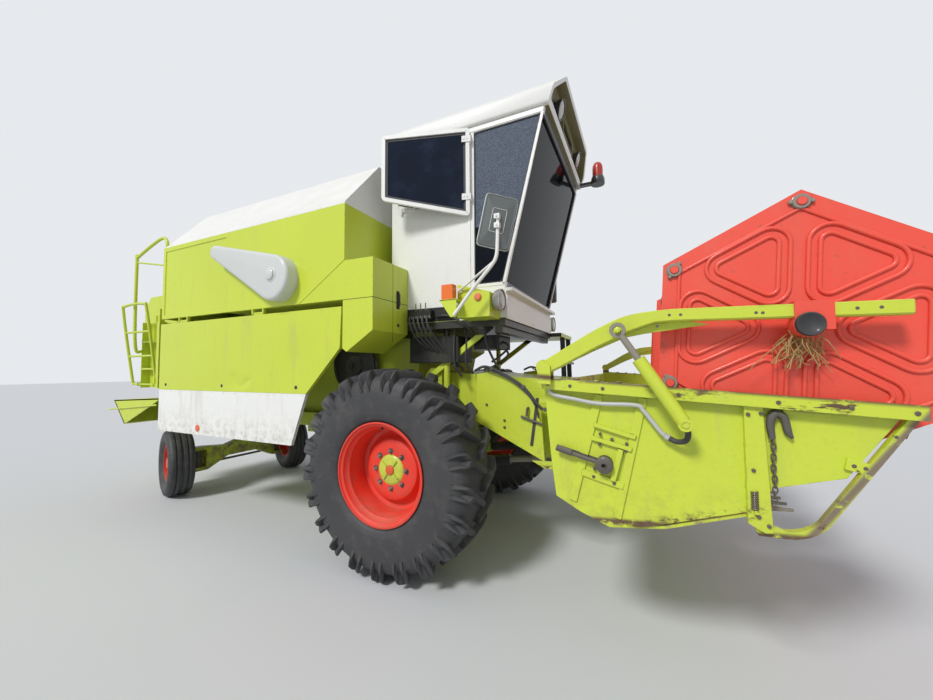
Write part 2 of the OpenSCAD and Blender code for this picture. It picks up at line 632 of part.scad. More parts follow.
module rear_rim() rotate([-90, 0, 0]) {
    w = rear_tyre_w / 2 - 36;
    difference() {
        translate([0, 0, -w]) cylinder(r = rear_rim_r - seat_gap, h = 2 * w, $fn = 96);
        translate([0, 0, 20]) cylinder(r = rear_rim_r - 18, h = w, $fn = 96);
        translate([0, 0, -w - 1]) cylinder(r = rear_rim_r - 18, h = w, $fn = 96);
        for (i = [0 : 5]) rotate([0, 0, i * 60]) translate([100, 0, -40]) cylinder(r = 10, h = 80, $fn = 24);
    }
    cylinder(r = 60, h = 90, $fn = 48);
}

// Steered frame of a rear wheel, turned about its kingpin
module rear_steered(side) machine() translate([-wheelbase, side * kingpin_track / 2, rear_axle_z])
    rotate([0, 0, -steer_rest]) children();

module rear_tyre_right() color(rubber) rear_steered(-1) translate([0, -kingpin_offset, 0]) rear_tyre();
module rear_tyre_left() color(rubber) rear_steered(1) translate([0, kingpin_offset, 0]) rear_tyre();
module rear_rim_right() color(red) rear_steered(-1) translate([0, -kingpin_offset, 0]) mirror([0, 1, 0]) rear_rim();
module rear_rim_left() color(red) rear_steered(1) translate([0, kingpin_offset, 0]) rear_rim();

fork_h = 100;
fork_t = 40;
fork_in = 70;
kingpin_r = 18;
arm_l = 165;
module knuckle_left_hand() {
    translate([0, 0, -fork_h - fork_t]) cylinder(r = kingpin_r, h = 2 * (fork_h + fork_t), $fn = 48);
    translate([0, 0, -fork_h + seat_gap]) cylinder(r = 36, h = 2 * (fork_h - seat_gap), $fn = 48);
    rotate([-90, 0, 0]) cylinder(r = 38, h = kingpin_offset - 1, $fn = 48);
    difference() {
        block([-arm_l - 22, -18, -84], [0, 18, -58]);
        translate([-arm_l, 0, -90]) cylinder(r = 10 + run_gap, h = 40, $fn = 32);
    }
}
module knuckle_right() color(dark) rear_steered(-1) mirror([0, 1, 0]) knuckle_left_hand();
module knuckle_left() color(dark) rear_steered(1) knuckle_left_hand();

// Track rod between the steering arms: it stays square to the axle as the wheels turn
module track_rod() color(dark) machine()
    translate([-wheelbase - arm_l * cos(steer_rest), arm_l * sin(steer_rest), rear_axle_z]) {
        cross_shaft(0, -104, 14, -kingpin_track / 2, kingpin_track / 2, 32);
        for (s = [-1, 1]) translate([0, s * kingpin_track / 2, 0]) {
            translate([0, 0, -122]) cylinder(r = 22, h = 122 - 84 - seat_gap, $fn = 32);
            translate([0, 0, -100]) cylinder(r = 10, h = 46, $fn = 32);
        }
    }

module rear_axle() color(green) machine() translate([-wheelbase, 0, rear_axle_z]) difference() {
    k = kingpin_track / 2;
    union() {
        // Beam with a fork at each end
        cross_form([[-k - 55, fork_h], [-k - 55, fork_h + fork_t], [-k + 60, fork_h + fork_t], [-200, 110], [-60, 150],
                    [-60, pivot_boss_h], [60, pivot_boss_h], [60, 150], [200, 110], [k - 60, fork_h + fork_t], [k + 55, fork_h + fork_t],
                    [k + 55, fork_h], [k - fork_in, fork_h], [k - fork_in, -fork_h], [k + 55, -fork_h],
                    [k + 55, -fork_h - fork_t], [k - 90, -fork_h - fork_t], [200, -20], [-200, -20],
                    [90 - k, -fork_h - fork_t], [-k - 55, -fork_h - fork_t], [-k - 55, -fork_h],
                    [fork_in - k, -fork_h], [fork_in - k, fork_h]], -55, 55);
    }
    for (s = [-1, 1]) translate([0, s * k, -200]) cylinder(r = kingpin_r + run_gap, h = 400, $fn = 48);
}

module front_axle() color(dark) machine() {
    cross_shaft(0, front_axle_z, axle_r, -front_track / 2 + 110, front_track / 2 - 110, 64);
    both_sides() cross_shaft(0, front_axle_z, 150, rail_y + rail_w + 1, front_track / 2 - 150, 64);
    both_sides() cross_shaft(0, front_axle_z, 70, front_track / 2 - 120, front_track / 2 - 10 - seat_gap, 64);
}

// Header
trough_t = 10;
rail = [[1190, 1335], [2470, 1252]];
side_outline = [[header_rear_x, 1330], [1232, 943], [1251, 796], [1354, 741], [1482, 690], [1596, 705],
                [1978, 832], [2068, 934], [2275, 994], [2440, 1240]];
feeder_half = 480;

module feeder_house() color(green) machine() {
    difference() {
        side_form([[feeder_pivot_x - 10, 1370], [header_rear_x - 12, 1290], [header_rear_x - 12, 760],
                   [1020, 735], [500, 1050], [150, 1060], [60, 1180]], -feeder_half, feeder_half);
        side_form([[40, 1340], [header_rear_x, 1262], [header_rear_x, 790],
                   [1010, 770], [510, 1082], [150, 1092], [40, 1190]], -feeder_half + 20, feeder_half - 20);
    }
    cross_shaft(feeder_pivot_x, feeder_pivot_z, pivot_r, -rail_y - pivot_ear_t, rail_y + pivot_ear_t, 64);
    // Wide cheeks that carry the header
    both_sides() side_form([[470, 1350], [header_rear_x - 12, 1300], [header_rear_x - 12, 760], [1020, 735],
                            [500, 1050]], 600, 625);
    for (x = [520, 1120]) both_sides() block([x, feeder_half - 5, 1220], [x + 50, 605, 1260]);
    // Lugs and pins of the lift cylinders' rods
    both_sides() for (y = [lift_y - 34, lift_y + 18])
        side_form([[930, 790], [935, 672], [1005, 672], [1010, 790]], y, y + 16);
    both_sides() cross_shaft(lift_pin_front.x, lift_pin_front.y, 13, lift_y - 30, lift_y + 30, 32);
}

lift_pin_rear = [170, 600];
lift_pin_front = [970, 700];
lift_eye_gap = 16;
lift_barrel_l = 475;
lift_y = 328;
module lift_frame(side) machine() translate([lift_pin_rear.x, side * lift_y, lift_pin_rear.y])
    rotate([0, -atan2(lift_pin_front.y - lift_pin_rear.y, lift_pin_front.x - lift_pin_rear.x), 0]) children();
lift_l = norm(lift_pin_front - lift_pin_rear);
module lift_barrels() color(dark) for (side = [-1, 1]) lift_frame(side) difference() {
    union() {
        translate([65, 0, 0]) rotate([0, 90, 0]) cylinder(r = 40, h = lift_barrel_l - 65, $fn = 48);
        block([0, -25, -30], [70, 25, 30]);
        cross_shaft(0, 0, 36, -25, 25, 48);
    }
    translate([68, 0, 0]) rotate([0, 90, 0]) cylinder(r = 25 + run_gap, h = 500, $fn = 48);
    cross_shaft(0, 0, 16 + run_gap, -26, 26, 48);
}
module lift_rods() color(steel) for (side = [-1, 1]) lift_frame(side) difference() {
    union() {
        translate([350, 0, 0]) rotate([0, 90, 0]) cylinder(r = 25, h = lift_l - 350 - 75, $fn = 48);
        block([lift_l - 80, -11, -20], [lift_l - 30, 11, 20]);
        cross_shaft(lift_l, 0, 42, -11, 11, 48);
    }
    cross_shaft(lift_l, 0, 13 + lift_eye_gap, -12, 12, 48);
}

module header_trough() color(green) machine() {
    difference() {
        side_form([[header_rear_x, 1325], [header_rear_x + 8, 1325], [1248, 900], [1300, 800], [1420, 725],
                   [1580, 712], [1700, 730], [2020, 838], [2020, 826], [1700, 716], [1580, 698],
                   [1415, 711], [1290, 788], [1238, 895]], -sheet_y + seat_gap, sheet_y - seat_gap);
        block([header_rear_x - 5, -feeder_half + 30, 800], [1350, feeder_half - 30, 1180]);
    }
    both_sides() block([header_rear_x - 12 + seat_gap, 560, 1100], [header_rear_x + 8, 640, 1300]);
}

sheet_t = 9;
sheet_y = half_header - 50;
rail_out = half_header + 5;
module header_sides() color(green) machine() both_sides() {
    side_form(side_outline, sheet_y, sheet_y + sheet_t);
    // Top rail: a flat with a turned-down outer edge
    difference() {
        side_form([[1190, 1345], [1190, 1295], [2470, 1209], [2470, 1259]], sheet_y, rail_out);
        side_form([[1180, 1335], [1180, 1285], [2480, 1198], [2480, 1248]], sheet_y + sheet_t, rail_out - 7);
    }
    // Post and runner
    side_form([[1978, 1290], [1978, 800], [2030, 770], [2053, 775], [2035, 1285]],
              sheet_y + sheet_t - 1, sheet_y + sheet_t + 28);
    side_form(concat([[1995, 795], [2010, 755], [2090, 757]],
                     [for (i = [0 : 4]) [2090 + 160 * sin(i * 12.5), 917 - 160 * cos(i * 12.5)]],
                     [[2470, 1225], [2448, 1238]],
                     [for (i = [4 : -1 : 0]) [2090 + 132 * sin(i * 12.5), 917 - 132 * cos(i * 12.5)]], [[2060, 795]]),
              sheet_y, sheet_y + sheet_t + 16);
    // Ears of the reel arm's pivot and the lower pin of its cylinder
    for (y = [arm_in - 10 - seat_gap, arm_out + seat_gap]) difference() {
        side_form([[1190, 1320], [1250, 1316], [1250, 1400], [1215, 1430], [1190, 1410]], y, y + 10);
        cross_shaft(arm_pivot.x, arm_pivot.y, 16, y - 1, y + 11, 32);
    }
    cross_shaft(arm_pivot.x, arm_pivot.y, 16, arm_in - 10 - seat_gap, arm_out + 10 + seat_gap, 32);
    cross_shaft(reel_pin_low.x, reel_pin_low.y, 12, sheet_y + 5, reel_cyl_y + 22, 32);
}

module cutter_bar() color(dark) machine() {
    block([2020 + seat_gap, -sheet_y + seat_gap, 822], [2060, sheet_y - seat_gap, 846]);
    for (i = [-18 : 18]) translate([2055, i * 76.2, 828])
        linear_extrude(12) polygon([[0, -16], [0, 16], [90, 0]]);
}

module table_auger() color(green) machine() translate([auger_x, 0, auger_z]) rotate([90, 0, 0]) {
    cylinder(r = 140, h = 2 * sheet_y - 2 * move_gap, center = true, $fn = 64);
    cylinder(r = 30, h = 2 * (sheet_y - seat_gap), center = true, $fn = 48);
    for (i = [0 : 9]) for (s = [-1, 1]) translate([0, 0, s * (1350 - i * 95)])
        cylinder(r = auger_r, h = 8, center = true, $fn = 64);
}

// Reel with its arms, slides, control ring and tine bars
arm_pivot = [1215, 1395];
arm_t = 50;
arm_y = half_header + 6;
arm_in = arm_y - arm_t / 2;
arm_out = arm_y + arm_t / 2;
arm_tip = [2440, 1609];
arm_bend = [1800, 1626];
arm_h = 50;
reel_cyl_y = arm_out + 44;
reel_pin_low = [1775, 1170];
reel_pin_high = [1541, 1545];
module reel_arms() color(green) machine() both_sides() {
    difference() {
        union() {
            side_form([arm_pivot - [25, 25], arm_pivot + [30, -25], [1560, 1530], arm_bend - [0, arm_h],
                       arm_tip - [0, arm_h], arm_tip, arm_bend, [1530, 1603], arm_pivot + [-25, 35]], arm_in, arm_out);
            cross_shaft(arm_pivot.x, arm_pivot.y, 34, arm_in, arm_out, 48);
        }
        cross_shaft(arm_pivot.x, arm_pivot.y, 16 + run_gap, arm_in - 1, arm_out + 1, 48);
    }
    cross_shaft(reel_pin_high.x, reel_pin_high.y, 12, arm_out - 1, reel_cyl_y + 22, 32);
}

module reel_cyl_frame() machine() both_sides() translate([reel_pin_low.x, reel_cyl_y, reel_pin_low.y])
    rotate([0, -atan2(reel_pin_high.y - reel_pin_low.y, reel_pin_high.x - reel_pin_low.x), 0]) children();
reel_cyl_l = norm(reel_pin_high - reel_pin_low);
module reel_barrels() color(dark) reel_cyl_frame() difference() {
    union() {
        rotate([0, 90, 0]) cylinder(r = 26, h = 300, $fn = 48);
        cross_shaft(0, 0, 26, -17, 17, 48);
    }
    translate([40, 0, 0]) rotate([0, 90, 0]) cylinder(r = 14 + run_gap, h = 300, $fn = 48);
    cross_shaft(0, 0, 12 + run_gap, -30, 30, 32);
}
module reel_rods() color(steel) reel_cyl_frame() difference() {
    union() {
        translate([60, 0, 0]) rotate([0, 90, 0]) cylinder(r = 14, h = reel_cyl_l - 70, $fn = 48);
        cross_shaft(reel_cyl_l, 0, 32, -12, 12, 48);
    }
    cross_shaft(reel_cyl_l, 0, 12 + reel_eye_gap, -18, 18, 48);
}
reel_eye_gap = 5;

// Sliding collars on the arms, which carry the reel's shaft
shaft_r = 22;
slide_wall = 8;
slide_x0 = 2130;
slide_x1 = 2240;
arm_slope = (arm_tip.y - arm_bend.y) / (arm_tip.x - arm_bend.x);
function arm_top(x) = arm_bend.y + (x - arm_bend.x) * arm_slope;
module slide_left_hand() difference() {
    union() {
        side_form([[slide_x0, arm_top(slide_x0) - arm_h - 45], [slide_x1, arm_top(slide_x1) - arm_h - 45],
                   [slide_x1, arm_top(slide_x1) + slide_wall], [slide_x0, arm_top(slide_x0) + slide_wall]],
                  arm_in - slide_wall, arm_out + slide_wall);
        cross_shaft(reel_x, reel_z, 45, arm_in - slide_wall, arm_out + slide_wall, 64);
    }
    side_form([[slide_x0 - 1, arm_top(slide_x0 - 1) - arm_h - run_gap],
               [slide_x1 + 1, arm_top(slide_x1 + 1) - arm_h - run_gap],
               [slide_x1 + 1, arm_top(slide_x1 + 1) + run_gap], [slide_x0 - 1, arm_top(slide_x0 - 1) + run_gap]],
              arm_in - run_gap, arm_out + run_gap);
    cross_shaft(reel_x, reel_z, shaft_r + run_gap, arm_in - 200, arm_out + 20, 64);
}
module reel_slides() color(red) machine() {
    slide_left_hand();
    mirror([0, 1, 0]) slide_left_hand();
    // Eccentric on which the control star turns
    difference() {
        cross_shaft(reel_x - crank_l, reel_z, eccentric_r, ring_y - 5, arm_in - slide_wall + 1, 96);
        cross_shaft(reel_x, reel_z, shaft_r + run_gap, ring_y - 7, arm_in + 10, 64);
    }
}

plate_t = 8;
plate_y = half_header - 90;
bar_r = 17;
crank_y = plate_y + 20;
ring_y = crank_y + 8;
eccentric_r = crank_l + shaft_r + 16;

module reel_frame() color(red) machine() translate([reel_x, 0, reel_z]) {
    cross_shaft(0, 0, 60, -plate_y, plate_y, 64);
    cross_shaft(0, 0, shaft_r, -arm_y - 25, arm_y + 25, 48);
    for (y = [plate_y, -plate_y, -456, 456])
        translate([0, y + plate_t / 2, 0]) rotate([90, 0, 0]) linear_extrude(plate_t) difference() {
            rotate(90 + hex_turn) circle(r = plate_r, $fn = bar_count);
            for (i = [0 : bar_count - 1]) rotate(90 + hex_turn + i * 360 / bar_count) translate([reel_r, 0])
                circle(r = bar_r + run_gap, $fn = 32);
        }
}

module tine_bar(i) color(red) machine() {
    a = 90 + hex_turn + (i - 1) * 360 / bar_count;
    translate([reel_x + reel_r * cos(a), 0, reel_z + reel_r * sin(a)]) {
        cross_shaft(0, 0, bar_r, -plate_y - 10, crank_y, 32);
        for (y = [-8 : 8]) translate([0, y * tine_pitch + 40, -tine_l]) cylinder(r = 4, h = tine_l, $fn = 8);
        // Crank that keeps the tines upright
        side_form([[-crank_l - 14, -14], [8, -14], [8, 14], [-crank_l - 14, 14]], crank_y - 10, crank_y);
        cross_shaft(-crank_l, 0, 8, crank_y - 1, ring_y + 6, 32);
    }
}
module tine_bar_1() tine_bar(1);
module tine_bar_2() tine_bar(2);
module tine_bar_3() tine_bar(3);
module tine_bar_4() tine_bar(4);
module tine_bar_5() tine_bar(5);
module tine_bar_6() tine_bar(6);

// Star on the left end whose middle stands behind the reel's: it turns with the reel and
// holds every crank level
module control_ring() color(dark) machine() translate([reel_x - crank_l, 0, reel_z]) difference() {
    union() {
        cross_shaft(0, 0, eccentric_r + 24, ring_y - 5, ring_y + 5, 96);
        for (i = [0 : bar_count - 1]) rotate([0, -90 - hex_turn - i * 360 / bar_count, 0])
            block([eccentric_r + 5, ring_y - 5, -16], [reel_r, ring_y + 5, 16]);
        for (i = [0 : bar_count - 1]) rotate([0, -90 - hex_turn - i * 360 / bar_count, 0])
            cross_shaft(reel_r, 0, 20, ring_y - 5, ring_y + 5, 48);
    }
    cross_shaft(0, 0, eccentric_r + run_gap, ring_y - 6, ring_y + 6, 96);
    for (i = [0 : bar_count - 1]) rotate([0, -90 - hex_turn - i * 360 / bar_count, 0])
        cross_shaft(reel_r, 0, 8 + run_gap, ring_y - 6, ring_y + 6, 32);
}

chassis_frame();
threshing_body();
straw_hood();
grain_tank();
tank_roof();
tank_lid();
engine_hood();
engine_block();
front_boxes();
belt_guard();
side_panel_right();
side_panel_left();
cab_floor();
cab_shell();
cab_roof();
cab_glass();
side_window();
cab_door();
operator_seat();
steering_column();
cab_fascia();
lamps();
mirrors();
access_steps();
rear_ladder();
unloading_auger();
front_axle();
front_rim_right();
front_tyre_right();
front_rim_left();
front_tyre_left();
rear_axle();
knuckle_right();
knuckle_left();
track_rod();
rear_rim_right();
rear_tyre_right();
rear_rim_left();
rear_tyre_left();
feeder_house();
lift_barrels();
lift_rods();
header_trough();
header_sides();
cutter_bar();
table_auger();
reel_arms();
reel_barrels();
reel_rods();
reel_slides();
reel_frame();
control_ring();
tine_bar_1();
tine_bar_2();
tine_bar_3();
tine_bar_4();
tine_bar_5();
tine_bar_6();
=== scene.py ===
"""Looks of a combine harvester with its grain header raised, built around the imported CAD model, in metres."""
import math

import bmesh
import bpy
import numpy as np
from mathutils import Matrix, Vector
from mathutils.geometry import tessellate_polygon


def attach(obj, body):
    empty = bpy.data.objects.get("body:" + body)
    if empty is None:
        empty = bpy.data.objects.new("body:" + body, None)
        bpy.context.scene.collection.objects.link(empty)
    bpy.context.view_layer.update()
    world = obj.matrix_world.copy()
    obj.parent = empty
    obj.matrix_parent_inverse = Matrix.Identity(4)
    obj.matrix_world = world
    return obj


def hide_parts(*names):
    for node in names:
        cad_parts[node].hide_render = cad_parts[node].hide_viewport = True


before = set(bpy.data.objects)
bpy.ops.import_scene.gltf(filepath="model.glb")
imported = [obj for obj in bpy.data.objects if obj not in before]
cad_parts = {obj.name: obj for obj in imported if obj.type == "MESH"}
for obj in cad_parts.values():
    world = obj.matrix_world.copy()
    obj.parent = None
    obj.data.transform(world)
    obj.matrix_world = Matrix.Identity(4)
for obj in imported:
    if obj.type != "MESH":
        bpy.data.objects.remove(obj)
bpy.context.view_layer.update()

# Machine frame: drawings of the real machine count from the front axle, so every size below is in
# millimetres forward of it, to its left and up. The row's own frame lies under the machine's middle.
ROW_SHIFT = 715.397
BODY_LIFT = 35.0


def at(x, y, z):
    """Points of the machine's drawings, in millimetres, as points of the row frame in metres."""
    x, y, z = np.asarray(x, float) + ROW_SHIFT, np.asarray(y, float), np.asarray(z, float) + BODY_LIFT
    return np.stack(np.broadcast_arrays(x, y, z), -1) / 1000.0


def metres(axis, value):
    """One of the drawings' X, Y or Z, in millimetres, as metres of the row frame."""
    return float(at(value, value, value)["XYZ".index(axis)])


# Chassis, axles and threshing housing. Rolled and folded steel, welded and sprayed with enamel; years
# of field work left it faded, dusty on its upper faces, muddy below and chipped to steel on its edges.
class Finish:
    """A material whose nodes are placed and wired by calls, reading Object coordinates."""

    def __init__(self, name):
        self.material = bpy.data.materials.new(name)
        self.material.use_nodes = True
        self.tree = self.material.node_tree
        self.shader = self.tree.nodes["Principled BSDF"]
        self.place = self.add("ShaderNodeTexCoord").outputs["Object"]

    def add(self, kind, *values, **settings):
        """A node of that kind: values fill its inputs in order, as numbers or as sockets to wire."""
        made = self.tree.nodes.new(kind)
        for name, value in settings.items():
            setattr(made, name, value)
        for index, value in enumerate(values):
            self.feed(made.inputs[index], value)
        return made

    def feed(self, socket, value):
        """Wires a socket, or sets a number, to an input."""
        if value is None:
            return
        if isinstance(value, bpy.types.NodeSocket):
            self.tree.links.new(value, socket)
        else:
            socket.default_value = value

    def noise(self, scale, detail=4.0, rough=0.55, stretch=(1, 1, 1), seed=0.0):
        """Cloudy noise from 0 to 1 at that many waves a metre, stretched along the axes."""
        spot = self.add("ShaderNodeMapping", self.place, (seed, seed * 0.7, seed * 1.3), (0, 0, 0), stretch).outputs[0]
        made = self.add("ShaderNodeTexNoise", spot)
        for name, value in (("Scale", scale), ("Detail", detail), ("Roughness", rough)):
            made.inputs[name].default_value = value
        return made.outputs["Fac"]

    def math(self, operation, *values):
        """One arithmetic step on one, two or three values."""
        return self.add("ShaderNodeMath", *values, operation=operation).outputs[0]

    def times(self, first, second):
        """Product of two values."""
        return self.math("MULTIPLY", first, second)

    def rest(self, share):
        """What a share leaves of 1."""
        return self.math("SUBTRACT", 1.0, share)

    def ramp(self, value, low, high):
        """0 below low, 1 above high and a smooth step between."""
        return self.add("ShaderNodeMapRange", value, low, high, 0.0, 1.0, interpolation_type="SMOOTHSTEP").outputs[0]

    def mix(self, share, first, second):
        """Colour that goes from first to second as share goes from 0 to 1."""
        made = self.add("ShaderNodeMix", data_type="RGBA")
        self.feed(made.inputs[0], share)
        self.feed(made.inputs[6], first)
        self.feed(made.inputs[7], second)
        return made.outputs[2]

    def scaled(self, colour, factor):
        """A colour made lighter or darker by a factor."""
        made = self.add("ShaderNodeVectorMath", operation="SCALE")
        self.feed(made.inputs[0], colour[:3] if isinstance(colour, tuple) else colour)
        self.feed(made.inputs["Scale"], factor)
        return made.outputs[0]

    def facing_up(self, low=0.5, high=0.95):
        """1 on faces that look at the sky."""
        normal = self.add("ShaderNodeNewGeometry").outputs["Normal"]
        up = self.add("ShaderNodeSeparateXYZ", normal).outputs["Z"]
        return self.ramp(up, low, high)

    def along(self, axis):
        """Coordinate along X, Y or Z in metres of the row frame."""
        return self.add("ShaderNodeSeparateXYZ", self.place).outputs[axis]

    def past(self, axis, value, soft=0.5):
        """1 where the machine's X, Y or Z, in millimetres, is over a value."""
        middle = metres(axis, value)
        return self.ramp(self.along(axis), middle - soft / 1000.0, middle + soft / 1000.0)

    def from_axle(self, x, z):
        """Distance in metres from a line along Y through the machine's X and Z."""
        gap = self.add("ShaderNodeVectorMath", self.place, tuple(at(x, 0, z)), operation="SUBTRACT").outputs[0]
        gap = self.add("ShaderNodeVectorMath", gap, (1.0, 0.0, 1.0), operation="MULTIPLY").outputs[0]
        return self.add("ShaderNodeVectorMath", gap, operation="LENGTH").outputs["Value"]

    def edges(self, radius):
        """1 along sharp edges, within that radius in metres."""
        bevel = self.add("ShaderNodeBevel", radius, samples=4).outputs[0]
        normal = self.add("ShaderNodeNewGeometry").outputs["Normal"]
        turn = self.add("ShaderNodeVectorMath", bevel, normal, operation="DOT_PRODUCT").outputs["Value"]
        return self.ramp(self.rest(turn), 0.02, 0.25)

    def bump(self, height, distance, strength=1.0, onto=None):
        """Surface relief: a height from 0 to 1 times distance in metres."""
        made = self.add("ShaderNodeBump")
        self.feed(made.inputs["Strength"], strength)
        self.feed(made.inputs["Distance"], distance)
        self.feed(made.inputs["Height"], height)
        self.feed(made.inputs["Normal"], onto)
        return made.outputs[0]

    def set(self, **values):
        """Sets the shader's own sockets; underscores in a name stand for spaces."""
        for name, value in values.items():
            self.feed(self.shader.inputs[name.replace("_", " ")], value)
        return self.material


def rgb(red, green, blue):
    """A colour written as on screen, 0 to 255, as linear light."""
    channel = [c / 255.0 for c in (red, green, blue)]
    return tuple(c / 12.92 if c <= 0.04045 else ((c + 0.055) / 1.055) ** 2.4 for c in channel) + (1.0,)


DUST = rgb(176, 166, 140)
STEEL = rgb(112, 108, 102)
RUST = rgb(118, 78, 52)


def enamel(name, colour, zones=(), rough=0.32, dust=0.35, chips=0.0, mud=0.0, waves=0.0016, seed=0.0):
    """Sprayed enamel: faded in clouds, dusty where it faces up, muddy near the ground, chipped on edges.
    Zones are pairs of a colour and a function that gives the share of it from the finish."""
    f = Finish(name)
    for other, share in zones:
        colour = f.mix(share(f), colour, other)
    tone = f.scaled(colour, f.math("MULTIPLY_ADD", f.noise(0.9, seed=seed), 0.14, 0.92))
    speck = f.times(f.ramp(f.noise(55.0, 2.0, seed=seed), 0.5, 0.8), -0.06)
    tone = f.scaled(tone, f.math("ADD", speck, 1.0))
    streak = f.ramp(f.noise(3.0, 5.0, 0.65, (2.6, 2.6, 0.45), seed + 4.0), 0.52, 0.74)
    tone = f.mix(f.times(streak, 0.08 + 0.25 * mud), tone, rgb(160, 150, 122))
    film = f.times(f.facing_up(), f.ramp(f.noise(6.0, 6.0, seed=seed + 2.0), 0.2, 0.75))
    film = f.times(film, dust)
    tone = f.mix(film, tone, DUST)
    gloss = f.math("ADD", f.times(film, 0.5), f.times(f.noise(9.0, seed=seed), 0.16))
    gloss = f.math("ADD", gloss, rough)
    if mud:
        low = f.rest(f.past("Z", 815, 300))
        splash = f.times(low, f.ramp(f.noise(14.0, 7.0, 0.7, seed=seed + 7.0), 0.42, 0.66))
        splash = f.times(splash, mud)
        tone = f.mix(splash, tone, rgb(122, 104, 78))
        gloss = f.math("ADD", gloss, f.times(splash, 0.4))
    if chips:
        worn = f.times(f.edges(0.006), f.ramp(f.noise(16.0, 6.0, 0.7, seed=seed + 5.0), 0.56 - 0.2 * chips, 0.62))
        spots = f.times(f.ramp(f.noise(26.0, 5.0, 0.7, seed=seed + 9.0), 0.70, 0.73), chips)
        worn = f.math("MAXIMUM", worn, spots)
        tone = f.mix(worn, tone, f.mix(f.noise(60.0, seed=seed), RUST, STEEL))
        gloss = f.math("ADD", gloss, f.times(worn, 0.35))
    relief = f.bump(f.noise(2.2, 2.0, 0.4, seed=seed + 3.0), waves * 6.0, 0.35)
    relief = f.bump(f.noise(260.0, 2.0), 0.0002, 0.25, relief)
    f.set(Metallic=0.0, Coat_Weight=0.25, Coat_Roughness=0.12)
    return f.set(Base_Color=tone, Roughness=gloss, Normal=relief)


def wear(finish, *nodes):
    """Gives CAD nodes their finish."""
    for node in nodes:
        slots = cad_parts[node].data.materials
        slots.clear()
        slots.append(finish)


GREEN = rgb(200, 215, 60)
WHITE = rgb(235, 235, 230)
SHADED_GREEN = rgb(182, 196, 56)
# A darker green on the parts under the body: painted shade, with dust, mud and chips over it.
shaded_under_green = enamel("shaded_under_green", SHADED_GREEN, rough=0.5, dust=0.45, chips=0.4, mud=0.9, seed=6.0)
dark_iron = enamel("dark_iron", rgb(62, 62, 64), rough=0.5, dust=0.4, chips=0.5, mud=0.5, seed=12.0)
wear(shaded_under_green, "chassis_frame", "threshing_body", "straw_hood", "rear_axle")
wear(dark_iron, "engine_block", "front_axle", "knuckle_right", "knuckle_left", "track_rod")

# Front tyres. Traction tyres for the field: a carcass of moulded rubber on a wire bead, with slanted
# lugs that run from the middle of the tread over the shoulder and fork on the flank.
def joined(*parts):
    """Several (points, faces) pairs as one."""
    points, faces, count = [], [], 0
    for spots, rings in parts:
        points.append(np.asarray(spots, float))
        faces += [tuple(i + count for i in face) for face in rings]
        count += len(spots)
    return np.concatenate(points), faces


def grid(spots, around=False, along=False, caps=False):
    """Quads over an array of rows of points; around closes each row, along joins the last row to the first."""
    rows, columns = spots.shape[:2]
    number = np.arange(rows * columns).reshape(rows, columns)
    r = np.arange(rows if along else rows - 1)
    c = np.arange(columns if around else columns - 1)
    a, b = number[r][:, c], number[r][:, (c + 1) % columns]
    d, e = number[(r + 1) % rows][:, (c + 1) % columns], number[(r + 1) % rows][:, c]
    faces = np.stack([a, b, d, e], -1).reshape(-1, 4).tolist()
    if caps:
        faces += [number[0].tolist(), number[-1].tolist()]
    return spots.reshape(-1, 3), faces


def solid(name, part, finish, body, angle=35.0, bevel=0.0):
    """A piece from points in the machine's millimetres: faces turned outward, edges over angle left crisp."""
    points, faces = part
    mesh = bpy.data.meshes.new(name)
    mesh.from_pydata(at(*np.asarray(points, float).T).tolist(), [], faces)
    shape = bmesh.new()
    shape.from_mesh(mesh)
    bmesh.ops.recalc_face_normals(shape, faces=shape.faces[:])
    shape.to_mesh(mesh)
    shape.free()
    mesh.polygons.foreach_set("use_smooth", np.ones(len(mesh.polygons), bool))
    mesh.set_sharp_from_angle(angle=math.radians(angle))
    mesh.materials.append(finish)
    made = bpy.data.objects.new(name, mesh)
    bpy.context.scene.collection.objects.link(made)
    if bevel:
        round_off = made.modifiers.new("round", "BEVEL")
        round_off.width = bevel / 1000.0
        round_off.segments = 2
        round_off.limit_method = "ANGLE"
        round_off.angle_limit = math.radians(40)
        round_off.harden_normals = False
    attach(made, body)
    return made


def curve(points, count):
    """Smooth line through a few points: each coordinate eased between them by a cubic of the neighbours."""
    p = np.asarray(points, float)
    p = np.concatenate([2 * p[:1] - p[1:2], p, 2 * p[-1:] - p[-2:-1]])
    t = np.linspace(0, len(points) - 1 - 1e-9, count)
    i = t.astype(int)
    u = (t - i)[:, None]
    a, b, c, d = p[i], p[i + 1], p[i + 2], p[i + 3]
    return 0.5 * (2 * b + (c - a) * u + (2 * a - 5 * b + 4 * c - d) * u ** 2 + (3 * b - a - 3 * c + d) * u ** 3)


def lathe(profile, steps, centre):
    """A profile of (radius, Y) pairs turned about a line along Y through centre."""
    profile = np.asarray(profile, float)
    turn = np.linspace(0, 2 * np.pi, steps, endpoint=False)[:, None]
    spots = np.stack([np.sin(turn) * profile[:, 0], 0 * turn + profile[:, 1], np.cos(turn) * profile[:, 0]], -1)
    return grid(spots + np.asarray(centre, float), around=True, along=True)


def mirrored(half):
    """A half profile and its mirror image beyond Y = 0."""
    half = np.asarray(half, float)
    return np.concatenate([half, half[::-1] * [1, -1]])


TYRE_R = 715.0
LUGS = 21
